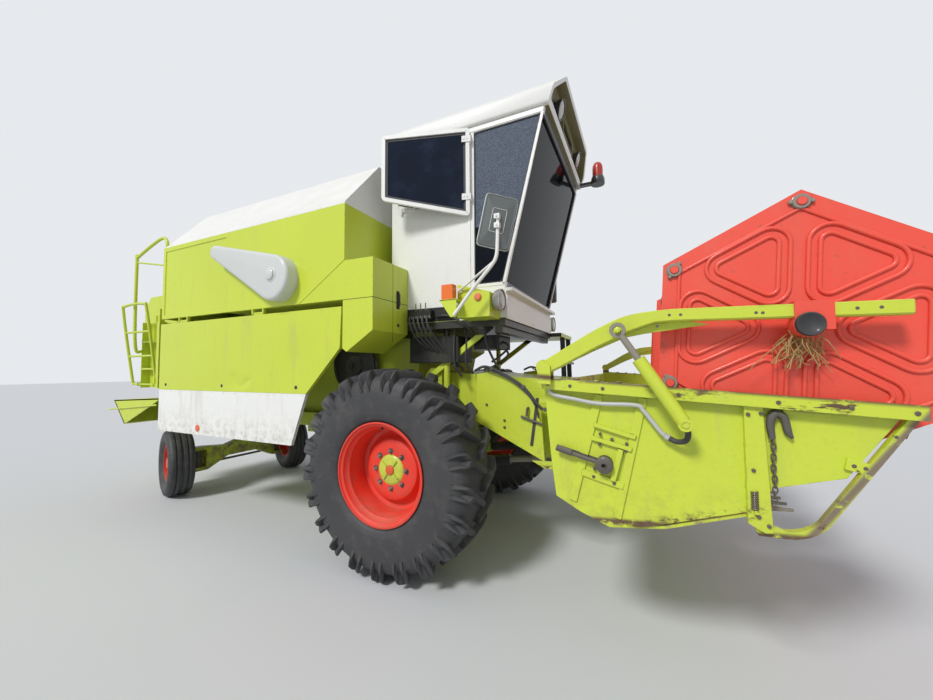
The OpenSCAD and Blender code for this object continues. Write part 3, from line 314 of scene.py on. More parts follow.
# Line of a lug along the tread and down the flank: its foot and its face as radius and Y, how far it
# trails behind its nose, and its widths at the foot and the face
LUG_LINE = np.array([
    [650, -12, 712, -12, 0, 30, 19], [655, 8, 715, 8, 10, 31, 20], [655, 50, 715, 50, 33, 31, 20],
    [655, 95, 714.5, 96, 60, 31, 20], [650, 135, 713, 138, 86, 31, 21], [640, 160, 709, 168, 102, 31, 21],
    [624, 182, 702, 192, 112, 33, 23], [608, 196, 691, 207, 116, 33, 22], [592, 206, 675, 220, 118, 31, 20],
    [578, 212, 652, 230, 119, 28, 16], [566, 215, 627, 235, 120, 23, 11], [556, 216, 601, 234, 120, 16, 6],
    [548, 216, 576, 229, 120, 9, 2], [544, 215, 560, 225, 120, 4, 1]])


def tyre_lugs(turn, hand, fork):
    """One leg of every lug on one side, turned by an angle, with its foot moved aside along the flank."""
    line = curve(LUG_LINE, 34)
    foot, face, trail, low, top = line[:, 0:2], line[:, 2:4], line[:, 4], line[:, 5], line[:, 6]
    apart = fork * np.clip((line[:, 3] - 150.0) / 60.0, 0, 1) ** 1.2 * 40.0
    nested = 3.0 * (fork < 0) * (1 - np.clip(np.abs(apart) / 4.0, 0, 1))
    low, top = low - 0.26 * np.abs(apart) - nested, top - 0.3 * np.abs(apart) - nested
    face = face - nested[:, None] * [1, 0]
    rise = np.array([0, 0.82, 1, 1, 0.82, 0])
    aside = np.stack([-low, -top - 4, -top + 3, top - 3, top + 4, low], 1)
    spot = foot[:, None] * (1 - rise[:, None]) + face[:, None] * rise[:, None]
    phi = (-(trail + apart)[:, None] + aside) / TYRE_R
    index = np.arange(LUGS)[:, None, None] * 2 * np.pi / LUGS + turn
    phi = phi[None] + index
    radius, y = spot[..., 0][None] + 0 * phi, spot[..., 1][None] * hand + 0 * phi
    first = 0 if fork > 0 else 12
    return np.stack([np.sin(phi) * radius, y, np.cos(phi) * radius], -1)[:, first:]


def front_tyre():
    """Carcass ring and both rows of lugs around the origin."""
    bead = [[330, 120], [330, 171], [342, 181], [355, 187], [363, 194]]
    flank = curve([[366, 199], [385, 209], [430, 219], [490, 223], [550, 222], [605, 210], [642, 186], [664, 150],
                   [672, 90], [674, 10]], 40)
    ribs = [0.9 * np.exp(-((flank[:, 0] - r) / 2.2) ** 2) for r in (398, 410, 540, 560)]
    flank[:, 1] += 2.0 * np.sum(ribs, 0)
    parts = [lathe(mirrored(np.concatenate([bead, flank])), 168, (0, 0, 0))]
    for hand in (-1, 1):
        for fork in (-1, 1):
            rows = tyre_lugs(0.0 if hand > 0 else np.pi / LUGS, hand, fork)
            parts += [grid(leg, around=True, caps=True) for leg in rows]
    return joined(*parts)


def rubber(name, dusty=0.5, seed=0.0):
    """Tyre rubber: near black, greyed by sun and dusted in patches."""
    f = Finish(name)
    tone = f.mix(f.noise(3.0, 5.0, seed=seed), rgb(46, 46, 48), rgb(68, 68, 70))
    film = f.times(f.ramp(f.noise(11.0, 6.0, 0.65, seed=seed + 3.0), 0.45, 0.75), dusty)
    tone = f.mix(film, tone, rgb(98, 96, 90))
    relief = f.bump(f.noise(190.0, 3.0), 0.0006, 0.5)
    return f.set(Base_Color=tone, Roughness=f.math("MULTIPLY_ADD", film, 0.2, 0.6), Normal=relief)


FRONT_Z = 680.0
SIDES = (("right", -1), ("left", 1))
tyre_rubber = rubber("tyre_rubber", 0.35)
points, faces = front_tyre()
for side, hand in SIDES:
    name = "front_tyre_" + side
    tyre = solid("rubber_" + name, (points * [1, hand, 1] + [0, 1000 * hand, FRONT_Z], faces), tyre_rubber,
                 "front_wheel_" + side, 40)
    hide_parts(name)

# Front rims. A rolled steel barrel with a dished disc welded in, sprayed red; eight nuts hold it on the
# final drive, whose coloured cap has four cast fins and a plug in the middle.
def bolts(places, axis, across, height, sides=6, crown=0.25):
    """Bolt heads or rivets at places, standing along an axis, with a low crown: points and faces."""
    axis = np.asarray(axis, float) / np.linalg.norm(axis)
    first = np.cross(axis, [0.37, 0.61, 0.7])
    first /= np.linalg.norm(first)
    second = np.cross(axis, first)
    turn = np.arange(sides) * 2 * np.pi / sides
    ring = np.cos(turn)[:, None] * first + np.sin(turn)[:, None] * second
    levels = [(-1.0, 1.0), (height * (1 - crown), 1.0), (height, 0.72)]
    rows = np.stack([ring * across / 2 * wide + axis * level for level, wide in levels])
    return joined(*[grid(rows + np.asarray(place, float), around=True, caps=True) for place in places])


def ring_places(count, radius, centre, offset=0.0):
    """Places evenly round a line along Y."""
    turn = (np.arange(count) + offset) * 2 * np.pi / count
    return np.stack([np.cos(turn) * radius, 0 * turn, np.sin(turn) * radius], -1) + centre


def box(a, b):
    """A block between two corners."""
    a, b = np.minimum(a, b), np.maximum(a, b)
    corners = np.array([[x, y, z] for x in (0, 1) for y in (0, 1) for z in (0, 1)])
    return a + corners * (b - a), [(0, 1, 3, 2), (4, 6, 7, 5), (0, 4, 5, 1), (2, 3, 7, 6), (0, 2, 6, 4), (1, 5, 7, 3)]


rim_red = enamel("rim_red", rgb(230, 52, 32), [
    (rgb(196, 210, 70), lambda f: f.rest(f.ramp(f.from_axle(0, 680), 0.1055, 0.1075))),
    (rgb(214, 92, 40), lambda f: f.rest(f.ramp(f.from_axle(0, 680), 0.0345, 0.0355)))],
    rough=0.4, dust=0.25, chips=0.55, mud=0.25, seed=16.0)
bare_steel = enamel("bare_steel", rgb(128, 124, 116), rough=0.5, dust=0.3, chips=0.9, seed=18.0)
barrel = [[352, 200], [342, 202], [337, 190], [322, 182], [317, 160], [300, 142], [297, 96], [289, 74], [289, -60],
          [299, -82], [302, -150], [318, -172], [337, -190], [342, -202], [352, -200], [352, -192], [331, -178],
          [329, -20], [331, 178], [352, 192]]
disc = [[291, -9], [262, -17], [240, -9], [226, 9], [219, 29], [209, 43], [192, 50], [172, 52], [112, 52], [104, 49],
        [104, 41], [170, 41], [190, 38], [203, 27], [212, 3], [230, -21], [262, -31], [291, -25]]
cap = [[0.5, 76], [26, 76], [33, 72], [34, 64], [82, 62], [96, 59], [104, 52], [105, 20], [0.5, 20]]
for side, hand in SIDES:
    centre = np.array([0, 1000 * hand, FRONT_Z])
    round_parts = [lathe(np.array(part, float) * [1, hand], steps, centre)
                   for part, steps in ((barrel, 128), (disc, 96), (cap, 64))]
    spin = [np.array(Matrix.Rotation(math.radians(a), 3, "Y")) for a in (40, 130, 220, 310)]
    fin = box((40, 60 * hand, -4), (88, 73 * hand, 4))
    fins = [(fin[0] @ turned.T + centre, fin[1]) for turned in spin]
    rim = solid("rim_front_" + side, joined(*round_parts, *fins), rim_red, "front_wheel_" + side, 32)
    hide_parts("front_rim_" + side)
    pits = bolts(ring_places(8, 132, centre + [0, 51.6 * hand, 0]), (0, hand, 0), 40, 1.2, 24, 0.1)
    solid("stud_pits_" + side, pits, dark_iron, "front_wheel_" + side, 30)
    studs = joined(bolts(ring_places(8, 128, centre + [0, 52 * hand, 0], 0.04), (0, hand, 0), 24, 17, 6),
                   bolts(ring_places(8, 128, centre + [0, 67 * hand, 0], 0.04), (0, hand, 0), 14, 12, 10))
    solid("studs_" + side, studs, bare_steel, "front_wheel_" + side, 30)
    valve = bolts([centre + [0, 125 * hand, 318]], (0, hand, -0.5), 16, 46, 12, 0.4)
    solid("valve_" + side, valve, tyre_rubber, "front_wheel_" + side, 30)

# Rear tyres. Smaller ribbed implement tyres for steering: flank with a moulded band, square shoulders
# and three grooves round the tread.
REAR_SPOT = (-3220.0, 730.0, 335.0)
STEER = 18.0
ribbed_rubber = rubber("ribbed_rubber", 0.6, 3.0)
flank = [[215, 88], [224, 97], [236, 104], [241, 109], [258, 116], [263, 120], [280, 122.5], [300, 124.5], [322, 123],
         [338, 117], [343, 113], [350, 112], [358, 104], [366, 94], [369.5, 84], [370, 64], [369, 60], [357, 58],
         [355, 54], [357, 50], [369, 48], [370, 44], [370, 16], [369, 12], [357, 10], [355, 5]]
turn_knuckle = np.array(Matrix.Rotation(math.radians(-STEER), 3, "Z"))
for side, hand in SIDES:
    kingpin = np.array([REAR_SPOT[0], 530.0 * hand, REAR_SPOT[2]])
    nubs = bolts(ring_places(60, 346, (0, 313 * hand, 0)), (0, hand, 0), 9, 3, 6)
    points, faces = joined(lathe(mirrored(flank), 120, (0, 200 * hand, 0)), nubs)
    tyre = solid("rubber_rear_tyre_" + side, (points @ turn_knuckle.T + kingpin, faces), ribbed_rubber,
                 "rear_wheel_" + side, 40)
    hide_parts("rear_tyre_" + side)
rear_rim_red = enamel("rear_rim_red", rgb(222, 56, 36), rough=0.45, dust=0.3, chips=0.5, mud=0.6, seed=17.0)
wear(rear_rim_red, "rear_rim_right", "rear_rim_left")

# Body skins. Folded and spot-welded sheet steel over the threshing housing, screwed to its frame; the
# walls, the slopes of the roof and the skirts are painted in different colours.
MESH_OLIVE = rgb(150, 160, 76)


def both(first, second):
    """Share that is 1 only where both are."""
    return lambda f: f.times(first(f), second(f))


def over(axis, value, soft=0.5):
    """Share that is 1 past a value along X, Y or Z."""
    return lambda f: f.past(axis, value, soft)


def under(axis, value, soft=0.5):
    """Share that is 1 before a value along X, Y or Z."""
    return lambda f: f.rest(f.past(axis, value, soft))


def within(axis, middle, half, soft=0.5):
    """Share that is 1 within a distance of a middle along an axis."""
    def share(f):
        gap = f.math("ABSOLUTE", f.math("SUBTRACT", f.along(axis), metres(axis, middle)))
        return f.rest(f.ramp(gap, (half - soft) / 1000.0, (half + soft) / 1000.0))
    return share


body_green = enamel("body_green", GREEN, rough=0.34, dust=0.4, chips=0.35, mud=0.35, seed=2.0)
tank_green = enamel("tank_green", GREEN, rough=0.34, dust=0.4, chips=0.3, seed=3.0)
hood_mesh = both(within("Y", 0, 1133), both(within("Z", 2278.5, 327), within("X", -2279, 492)))
hood_green = enamel("hood_green", GREEN, [(WHITE, over("Z", 2652)), (MESH_OLIVE, hood_mesh)],
                    rough=0.34, dust=0.5, chips=0.3, seed=4.0)
roof_enamel = enamel("roof_enamel", WHITE, rough=0.36, dust=0.6, chips=0.3, mud=0.0, seed=5.0)
guard_grey = enamel("guard_grey", rgb(205, 208, 205), rough=0.42, dust=0.35, chips=0.25, seed=7.0)
wear(body_green, "front_boxes")
wear(tank_green, "grain_tank", "unloading_auger")
wear(hood_green, "engine_hood")
wear(roof_enamel, "tank_roof", "tank_lid")

# Side panels. A pressed sheet with folded edges, hinged along its top, and the white skirt riveted
# under it; stones and stubble dented the right one in a wide V.
PANEL_REAR = -2820.0
BODY_SIDE = 1140.0
KNEE_Z = 1550


def front_edge(z):
    """X of the panels' front edge at a height: it leans forward and bends upright at the knee."""
    return np.interp(z, [790, 1199.7, 1200, KNEE_Z, 1860], [-905, -752, -750, -407, -392])


def dents(x, z):
    """Depth of the dents at points of the right panel: a valley along each of two lines and a dish."""
    deep = np.zeros(np.broadcast(x, z).shape)
    for (x0, z0), (x1, z1), width, depth in DENT_LINES:
        run = np.array([x1 - x0, z1 - z0], float)
        t = np.clip(((x - x0) * run[0] + (z - z0) * run[1]) / (run @ run), 0, 1)
        gap = np.hypot(x - x0 - t * run[0], z - z0 - t * run[1])
        deep = np.maximum(deep, depth * np.exp(-(gap / width) ** 2))
    return deep


DENT_LINES = [((-1640, 1330), (-1560, 1235), 34, 9), ((-1560, 1235), (-1440, 1300), 30, 8),
              ((-1600, 1270), (-1570, 1240), 80, 7), ((-900, 1480), (-880, 1440), 120, 6),
              ((-2500, 1600), (-2200, 1640), 150, 4)]


def panel_skin(hand, z0, z1, columns, rows, fold, face_y, dented):
    """A sheet of the side panels between two heights, with its four edges folded inward."""
    z = np.linspace(z0, z1, rows)
    if z0 < KNEE_Z < z1:
        z[np.argmin(np.abs(z - KNEE_Z))] = KNEE_Z
    s = np.linspace(0, 1, columns)
    x = PANEL_REAR + s[None] * (front_edge(z)[:, None] - PANEL_REAR)
    zz = np.broadcast_to(z[:, None], x.shape)
    edge = np.minimum(np.minimum(x - PANEL_REAR, front_edge(z)[:, None] - x), np.minimum(zz - z0, z1 - zz))
    sway = 0.8 * np.sin(x / 310 + zz / 170) * np.clip(edge / 90, 0, 1)
    y = face_y - dented * dents(x, zz) * np.clip(edge / 60, 0, 1) + sway
    outer = np.stack([x, y, zz], -1)
    inner = outer - [0, 1.6, 0]
    rim = np.concatenate([np.arange(columns), columns * np.arange(1, rows) + columns - 1,
                          columns * rows - 2 - np.arange(columns - 1), columns * np.arange(rows - 2, 0, -1)])
    border, back = outer.reshape(-1, 3)[rim], inner.reshape(-1, 3)[rim]
    middle = np.array([(PANEL_REAR - 600) / 2, face_y, (z0 + z1) / 2])
    inset = (middle - border) * [1, 0, 1]
    inset /= np.maximum(np.linalg.norm(inset, axis=1, keepdims=True), 1)
    lip = np.stack([border, border + inset * 1.2 - [0, 2.2, 0], border - [0, fold, 0],
                    border - [0, fold, 0] + inset * 3, back + inset * 3 - [0, 1, 0], back + inset * 4], 0)
    points, faces = joined(grid(outer), grid(inner), grid(lip, around=True))
    return points * [1, hand, 1], faces


panel_green = enamel("panel_green", GREEN, rough=0.3, dust=0.3, chips=0.35, mud=0.5, waves=0.002, seed=8.0)
skirt_white = enamel("skirt_white", WHITE, rough=0.36, dust=0.3, chips=0.45, mud=0.85, waves=0.002, seed=9.0)


def rings(path, ahead, radius, sides, up):
    """Rings of points round a path, each square to the way ahead at its point."""
    ahead = ahead / np.linalg.norm(ahead, axis=1, keepdims=True)
    beside = np.cross(ahead, np.asarray(up, float))
    beside /= np.linalg.norm(beside, axis=1, keepdims=True)
    above = np.cross(beside, ahead)
    turn = np.arange(sides)[None, :, None] * 2 * np.pi / sides
    radius = np.broadcast_to(radius, len(path))[:, None, None]
    return path[:, None] + radius * (np.cos(turn) * beside[:, None] + np.sin(turn) * above[:, None])


def tube(path, radius, sides=12, up=(0.05, 0.02, 1.0)):
    """A round bar along a path of points, capped; the radius is one number or one for each point."""
    path = np.asarray(path, float)
    return grid(rings(path, np.gradient(path, axis=0), radius, sides, up), around=True, caps=True)


screw_black = enamel("screw_black", rgb(48, 48, 50), rough=0.45, dust=0.3, chips=0.5, seed=10.0)
reflector = Finish("reflector_orange")
reflector.set(Base_Color=rgb(222, 98, 34), Roughness=0.25, Coat_Weight=0.6, Normal=reflector.bump(
    reflector.add("ShaderNodeTexVoronoi").outputs["Distance"], 0.0004, 0.3))
reflector_orange = reflector.material
for side, hand in SIDES:
    body = "side_panel_" + side
    skin = panel_skin(hand, 1200, 1860, 120, 44, 28, BODY_SIDE, float(side == "right"))
    pins = [tube([(x - 16, 1124 * hand, 1876), (x + 136, 1124 * hand, 1876)], 10, 20) for x in (-2500, -1400)]
    knuckles = [box((x + 1, 1116 * hand, 1842), (x + 119, 1132 * hand, 1876)) for x in (-2500, -1400)]
    sheet = solid("sheet_" + body, joined(skin, *pins, *knuckles), panel_green, body, 30, 1.0)
    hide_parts(body)
    solid("skirt_" + side, panel_skin(hand, 790, 1199.7, 90, 26, 26, 1138, 0.0), skirt_white, body,
          30, 1.0)
    rivets = bolts([(x, 1138 * hand, 1186) for x in np.arange(-2770, -780, 165.0)], (0, hand, 0), 13, 3, 10, 0.7)
    solid("rivets_" + side, rivets, skirt_white, body, 30)
    latches = joined(*[bolts([(x, 1139 * hand, 1250)], (0, hand, 0), *form) for x in (-2700, -1800, -860)
                       for form in ((30, 3, 28, 0.3), (19, 7, 6))])
    solid("latches_" + side, latches, screw_black, body, 30)
    disc = bolts([(-2150, 1138 * hand, 850)], (0, hand, 0), 64, 6, 40, 0.5)
    solid("reflector_" + side, disc, reflector_orange, body, 30)

# Boxes beside the cab. Sheet-steel lockers with a door each: seams round the door, a slot for the handle
# and a latch; these lines are open joints, so they are dark.
def plate(loops, axis, a, b):
    """A sheet drawn out along an axis from a to b: its outline in the other two axes, then its holes."""
    loops = [np.asarray(loop, float) for loop in loops]
    flat = np.concatenate(loops)
    spots = np.concatenate([np.insert(flat, "XYZ".index(axis), depth, axis=1) for depth in (a, b)])
    fill = tessellate_polygon([[Vector((u, w, 0)) for u, w in loop] for loop in loops])
    faces = [tuple(tri) for tri in fill] + [tuple(i + len(flat) for i in tri) for tri in fill]
    start = 0
    for loop in loops:
        ring = start + np.arange(len(loop))
        on = np.roll(ring, -1)
        faces += np.stack([ring, on, on + len(flat), ring + len(flat)], -1).tolist()
        start += len(loop)
    return spots, faces


def both_hands(part):
    """A part and its mirror image beyond the machine's middle."""
    points, faces = part
    return joined(part, (np.asarray(points, float) * [1, -1, 1], faces))


def along_x(part, centre, lean=0.0):
    """A part drawn about the Y line, laid along X, leaned down by an angle and moved to a centre."""
    points, faces = part
    turned = np.asarray(points, float)[:, [1, 0, 2]] @ np.array(Matrix.Rotation(lean, 3, "Y")).T
    return turned + np.asarray(centre, float), faces


# Near black: the colour of open joints and openings, and painted shade on the sheet and blocks under the cab.
gap_and_shade_dark = enamel("open_gap_and_painted_shade", rgb(20, 22, 16), rough=0.7, dust=0.2, waves=0.0, seed=30.0)
seams = joined(box((-101, 704, 1906), (-99.3, 1140, 1910)), box((-101, 902, 1600), (-99.3, 905, 2200)),
               box((-380, 1139, 1906), (-100, 1140.7, 1910)), box((-104, 815, 1860), (-99.2, 857, 2002)))
solid("box_seams", both_hands(seams), gap_and_shade_dark, "chassis", 30)
latch = joined(bolts([(-100, 836, 1731)], (1, 0, 0), 26, 7, 20, 0.4),
               tube([(-96, 836, 1870), (-84, 836, 1890), (-84, 836, 1970), (-96, 836, 1990)], 6, 10, (0, 1, 0)))
solid("box_latches", both_hands(latch), screw_black, "chassis", 30)

# Belt guard. A deep pressed cover over the drive's big and small pulley, edges drawn over in one press,
# with a round cap over the end of the shaft.
def around_two(first, first_r, second, second_r, steps=96):
    """Outline of a belt round two circles: in each direction the circle that reaches furthest."""
    turn = np.linspace(0, 2 * np.pi, steps, endpoint=False)
    way = np.stack([np.cos(turn), np.sin(turn)], -1)
    one, two = np.asarray(first) + first_r * way, np.asarray(second) + second_r * way
    further = np.sum(one * way, 1) > np.sum(two * way, 1)
    return np.where(further[:, None], one, two)


guard_rows = []
for out, inset in ((0.5, 0), (88, 0), (98, 3), (106, 10), (111, 20), (113, 34)):
    loop = around_two((-1040, 2130), 187 - inset, (-1790, 2438), 62 - inset)
    guard_rows.append(np.stack([loop[:, 0], np.full(len(loop), -BODY_SIDE - out), loop[:, 1]], -1))
guard_cap = lathe([[0.5, -18], [38, -18], [44, -14], [44, -6], [58, -5], [62, -2], [62, 4], [0.5, 4]], 48,
                  (-1036, -1252, 2149))
guard_press = solid("belt_cover", joined(grid(np.stack(guard_rows), around=True, caps=True), guard_cap), guard_grey,
                    "chassis", 35)
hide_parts("belt_guard")

# Drives behind the side panels. Cast pulleys of the drum, the straw walkers and the fan on their shafts.
pulleys = []
for x, z, r in ((-700, 1420, 230), (-1500, 1300, 150), (-2350, 1500, 190)):
    pulleys.append(lathe([[0.5, -10], [24, -10], [24, 58], [r * 0.35, 60], [r * 0.4, 74], [r - 26, 80], [r - 22, 60],
                          [r, 60], [r - 14, 72], [r - 14, 98], [r, 110], [r - 22, 110], [r - 26, 96], [r * 0.4, 90],
                          [r * 0.35, 112], [26, 118], [24, 150], [0.5, 150]], 56, (x, 560, z)))
solid("pulleys", both_hands(joined(*pulleys)), dark_iron, "chassis", 30)

# Engine hood's rear. Louvres pressed in the wall under folded brows, and the exhaust pipe that stands on
# the left slope of the roof.
def upright(profile, x, y, steps):
    """A profile of (radius, Z) pairs turned about the vertical line through X and Y, closed at both ends."""
    turn = np.linspace(0, 2 * np.pi, steps, endpoint=False)
    rows = [np.stack([x + r * np.cos(turn), y + r * np.sin(turn), z + 0 * turn], -1) for r, z in profile]
    return grid(np.stack(rows), around=True, caps=True)


louvres = [box((-2813, y, 2162 + i * 70), (-2809.4, y + 460, 2190 + i * 70)) for y in (-520, 60) for i in range(6)]
solid("hood_louvres", joined(*louvres), gap_and_shade_dark, "chassis", 30)
brows = [plate([[(-2811, 2186 + i * 70), (-2811, 2200 + i * 70), (-2822, 2184 + i * 70)]], "Y", y - 4, y + 464)
         for y in (-520, 60) for i in range(6)]
solid("louvre_brows", joined(*brows), body_green, "chassis", 30)
pipe = upright([(48, 2860), (48, 3346), (44, 3350), (41, 3346), (41, 3200)], -2450, 880, 40)
solid("exhaust", pipe, dark_iron, "chassis", 35)

# Straw hood. Sheet-steel hood open underneath, with seams down its sides, and the tray that spreads the
# straw hung below it on rods.
hood_side = [(-2790.3, 1000), (-2790.3, 1905), (-2830, 1905), (-2830, 2310), (-3950, 2310), (-4080, 2170),
             (-4080, 1500), (-3950, 1250), (-3050, 1000)]
hood_back = [(-2830, 2310), (-3950, 2310), (-4080, 2170), (-4080, 1500), (-3950, 1250), (-3950, 1225), (-4056, 1512),
             (-4056, 2160), (-3960, 2286), (-2830, 2286)]
tray = joined(plate([[(-3130, 1090), (-4074, 1045), (-4064, 1030), (-3130, 1074)]], "Y", -1000, 1000),
              plate([[(-4074, 1045), (-3821, 775), (-3806, 786), (-4052, 1044)]], "Y", -1000, 1000),
              both_hands(plate([[(-3130, 1090), (-4074, 1045), (-3821, 775), (-3130, 1065)]], "Y", 988, 1000)))
hangers = both_hands(joined(tube([(-4140, 1008, 934), (-3130, 1008, 1018)], 9, 10),
                            box((-3250, 700, 1080), (-3190, 740, 1220)),
                            *[box((x, 719, 1300), (x + 5, 721.5, 2250)) for x in (-3250, -3650)],
                            box((-2850, 559, 1200), (-2790.3, 719, 1240))))
hood_green_rear = enamel("straw_hood_green", GREEN, rough=0.36, dust=0.5, chips=0.35, mud=0.45, seed=31.0)
hood_piece = solid("straw_hood_sheets", joined(both_hands(plate([hood_side], "Y", 695, 720)),
                                               plate([hood_back], "Y", -719, 719), tray, hangers), hood_green_rear,
                   "chassis", 30, 1.5)
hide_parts("straw_hood")

# Stair, hoop ladder and handrail at the right rear corner. Welded flats and bent tube.
stair = [box((x - 5, -1010, 1200), (x + 5, -930, 1930)) for x in (-3470, -3150)]
stair += [box((-3470, -1010, z), (-3150, -930, z + 20)) for z in (1400, 1700)]
stair.append(box((-3470, -934, 1200), (-3150, -926, 1930)))
stair += [box((x, -930, z), (x + 40, -720.3, z + 40)) for x in (-3450, -3210) for z in (1240, 1880)]
hoop_line = curve([(-3560, -1030, 1230), (-3580, -1045, 1330), (-3580, -1140, 2020), (-3520, -1150, 2100),
                   (-3160, -1150, 2100), (-3100, -1140, 2020), (-3100, -1045, 1330), (-3110, -1030, 1230)], 90)
rungs = [tube([(-3580, y, z), (-3100, y, z)], 12, 12) for z, y in ((1550, -1074), (1810, -1109))]
rungs.append(tube([(-3565, -1030, 1240), (-3105, -1030, 1240)], 9, 10))
rungs += [box((x - 5, -1045, 1222), (x + 5, -1009, 1258)) for x in (-3470, -3150)]
post = [box((-2925, -1125, 1210), (-2880, -1080, 2030))]
post += [box((-2915, -1081, z), (-2890, -720.3, z + 40)) for z in (1250, 1850)]
post += [box((-2939, -1135, z), (-2924, -1100, z + 70)) for z in (1250, 1890)]
rail_line = curve([(-2828, -1100, 2622), (-2850, -1100, 2750), (-2980, -1100, 2780), (-3400, -1100, 2650),
                   (-3432, -1100, 2590), (-3410, -1100, 1690), (-3470, -1005, 1600)], 90)
braces = [box((-2830, -1125, 2590), (-2810.3, -1075, 2640)),
          tube([(-3425, -1100, 2590), (-2816, -1100, 2480)], 9, 10), box((-2818, -1118, 2460), (-2810.3, -1082, 2500))]
ladder = solid("stair_and_rail", joined(*stair, tube(hoop_line, 14, 12), *rungs, *post,
                                        tube(rail_line, 16, 12, (0, 1, 0.02)), *braces), body_green,
               "chassis", 35)
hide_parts("rear_ladder")

# Unloading auger's flanges and mouth. Rolled rings bolted between the tube's lengths, and a spout that
# points down at the tube's end.
ring = [[108, 0], [124, 0], [126, 2], [126, 12], [124, 14], [108, 14]]
SPOUT_X, SPOUT_Y, SPOUT_Z = -3260, 1295, 2390
flanges = [along_x(lathe(ring, 56, (0, 0, 0)), (x, SPOUT_Y, SPOUT_Z)) for x in (-757, -1917)]
turn = np.linspace(0, np.pi, 15)
ball = lathe(np.stack([111 * np.sin(turn) + 0.3, 111 * np.cos(turn)], -1), 48, (SPOUT_X, SPOUT_Y, SPOUT_Z))
mouth = upright([(111, SPOUT_Z), (111, 2132), (104, 2130), (103, 2140), (103, 2300)], SPOUT_X, SPOUT_Y, 48)
solid("spout_end", joined(*flanges, ball, mouth), tank_green, "unloading_auger", 35)

# Platform and cab walls. Welded sheet-steel shell on a steel platform, sprayed white outside and grey
# inside; the seams were sealed before painting.
cab_white = enamel("cab_white", WHITE, [
    (rgb(92, 94, 96), both(within("Y", 0, 662.5), both(over("X", -222.5), under("X", 1060))))],
    rough=0.36, dust=0.25, chips=0.15, mud=0.1, seed=1.0)
plain_white = enamel("plain_white", WHITE, rough=0.36, dust=0.25, chips=0.2, seed=1.5)
# The platform's underside, between these heights, is painted near black: painted shade under the cab.
shaded_under_cab = both(both(under("Z", 1757), over("Z", 1649)), within("Y", 0, 706))
platform_green = enamel("platform_green", GREEN, [(rgb(34, 36, 24), shaded_under_cab)], rough=0.4, dust=0.35,
                        chips=0.6, mud=0.5, seed=1.8)
wear(cab_white, "cab_door")
platform = [box((-260, -703.7, 1700), (740, 703.7, 1760)), box((-90, 702, 1720), (860, 1310, 1760)),
            box((688, 780, 1759), (700, 850, 1863)), box((660, -700, 1650), (720, 700, 1701)),
            both_hands(box((-200, 560.3, 1650), (-140, 700, 1701))),
            both_hands(plate([[(64.7, 1361.3), (584.7, 1736.3), (615.3, 1703.7), (95.3, 1328.7)]], "Y",
                             584.6, 609.6)),
            both_hands(tube([(202, 590.3, 980), (202, 590.3, 1701)], 24, 24, (1, 0, 0))),
            plate([[(455, 1745), (455, 1985), (700, 1915), (700, 1745)]], "Y", -900, -702),
            box((370, -1010, 1855), (500, -899, 1865)),
            plate([[(370, 1864), (500, 1864), (505, 1740), (455, 1740)]], "Y", -1010, -1000)]
floor_piece = solid("platform_weldment", joined(*platform), platform_green, "chassis", 30, 2.0)
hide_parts("cab_floor")
side_wall = [(-260, 1760), (740, 1760), (740, 1985), (1050, 3245), (-260, 3245)]
inner_wall = [(-260, 1760), (740, 1760), (740, 2020), (500, 2020), (500, 3200), (1038, 3200),
              (1050, 3245), (-260, 3245)]
quarter_hole = [(500, 2020), (722.9, 2020), (1022.6, 3200), (500, 3200)]
window_hole = [(-200, 2670), (450, 2500), (450, 3200), (-200, 3200)]
door_hole = [(-66, 1790), (450, 1790), (450, 3200), (-66, 3200)]
rear_hole = [(-450, 2300), (450, 2300), (450, 3150), (-450, 3150)]
shell = [plate([side_wall, quarter_hole, window_hole], "Y", -700, -684),
         plate([inner_wall, window_hole], "Y", -684.1, -662),
         plate([side_wall, quarter_hole, door_hole], "Y", 684, 700), plate([inner_wall, door_hole], "Y", 662, 684.1),
         plate([[(-699.9, 1760), (699.9, 1760), (699.9, 3245), (-699.9, 3245)], rear_hole], "X", -260.1, -222),
         plate([[(702, 1760), (740.1, 1760), (740.1, 1985), (748.7, 2020), (702, 2020)]], "Y", -700.1, 700.1),
         plate([[(1000.6, 3200), (1039.1, 3200), (1050.1, 3245), (1000, 3245)]], "Y", -700.1, 700.1)]
shell += [box((-96, 699, z + e), (-67, 732, z + e + 16)) for z in (1900, 3000) for e in (-16, 70)]
shell_piece = solid("cab_walls", joined(*shell), cab_white, "chassis", 30)
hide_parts("cab_shell")
trims = [box((-260, -704, 3205), (1042, -700, 3243)), box((450, -705, 2000), (470, -700, 3240)),
         plate([[(722, 2004), (742, 2004), (1046, 3205), (1027, 3205)]], "Y", -703, -699.5),
         box((500, -703, 1996), (742, -699.5, 2016))]
solid("cab_trims", both_hands(joined(*trims)), plain_white, "chassis", 30, 1.5)
ledge = joined(box((740.3, -700, 1755), (748, 700, 1975)), box((747, -700, 1750), (757, 700, 1925)),
               box((747, -700, 1950), (800, 700, 1975)),
               *[bolts([(757, y, z) for y in (-640, 0, 640) for z in (1775, 1900)], (1, 0, 0), 16, 5)])
ledge_piece = solid("fascia_plates", ledge, plain_white, "chassis", 30, 1.5)
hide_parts("cab_fascia")
solid("door_handle", joined(box((402, 697, 1972), (432, 708, 2078)),
                            tube([(417, 706, 1985), (417, 730, 1995), (417, 730, 2055), (417, 706, 2066)], 8, 12,
                                 (1, 0, 0))), screw_black, "cab_door", 35)
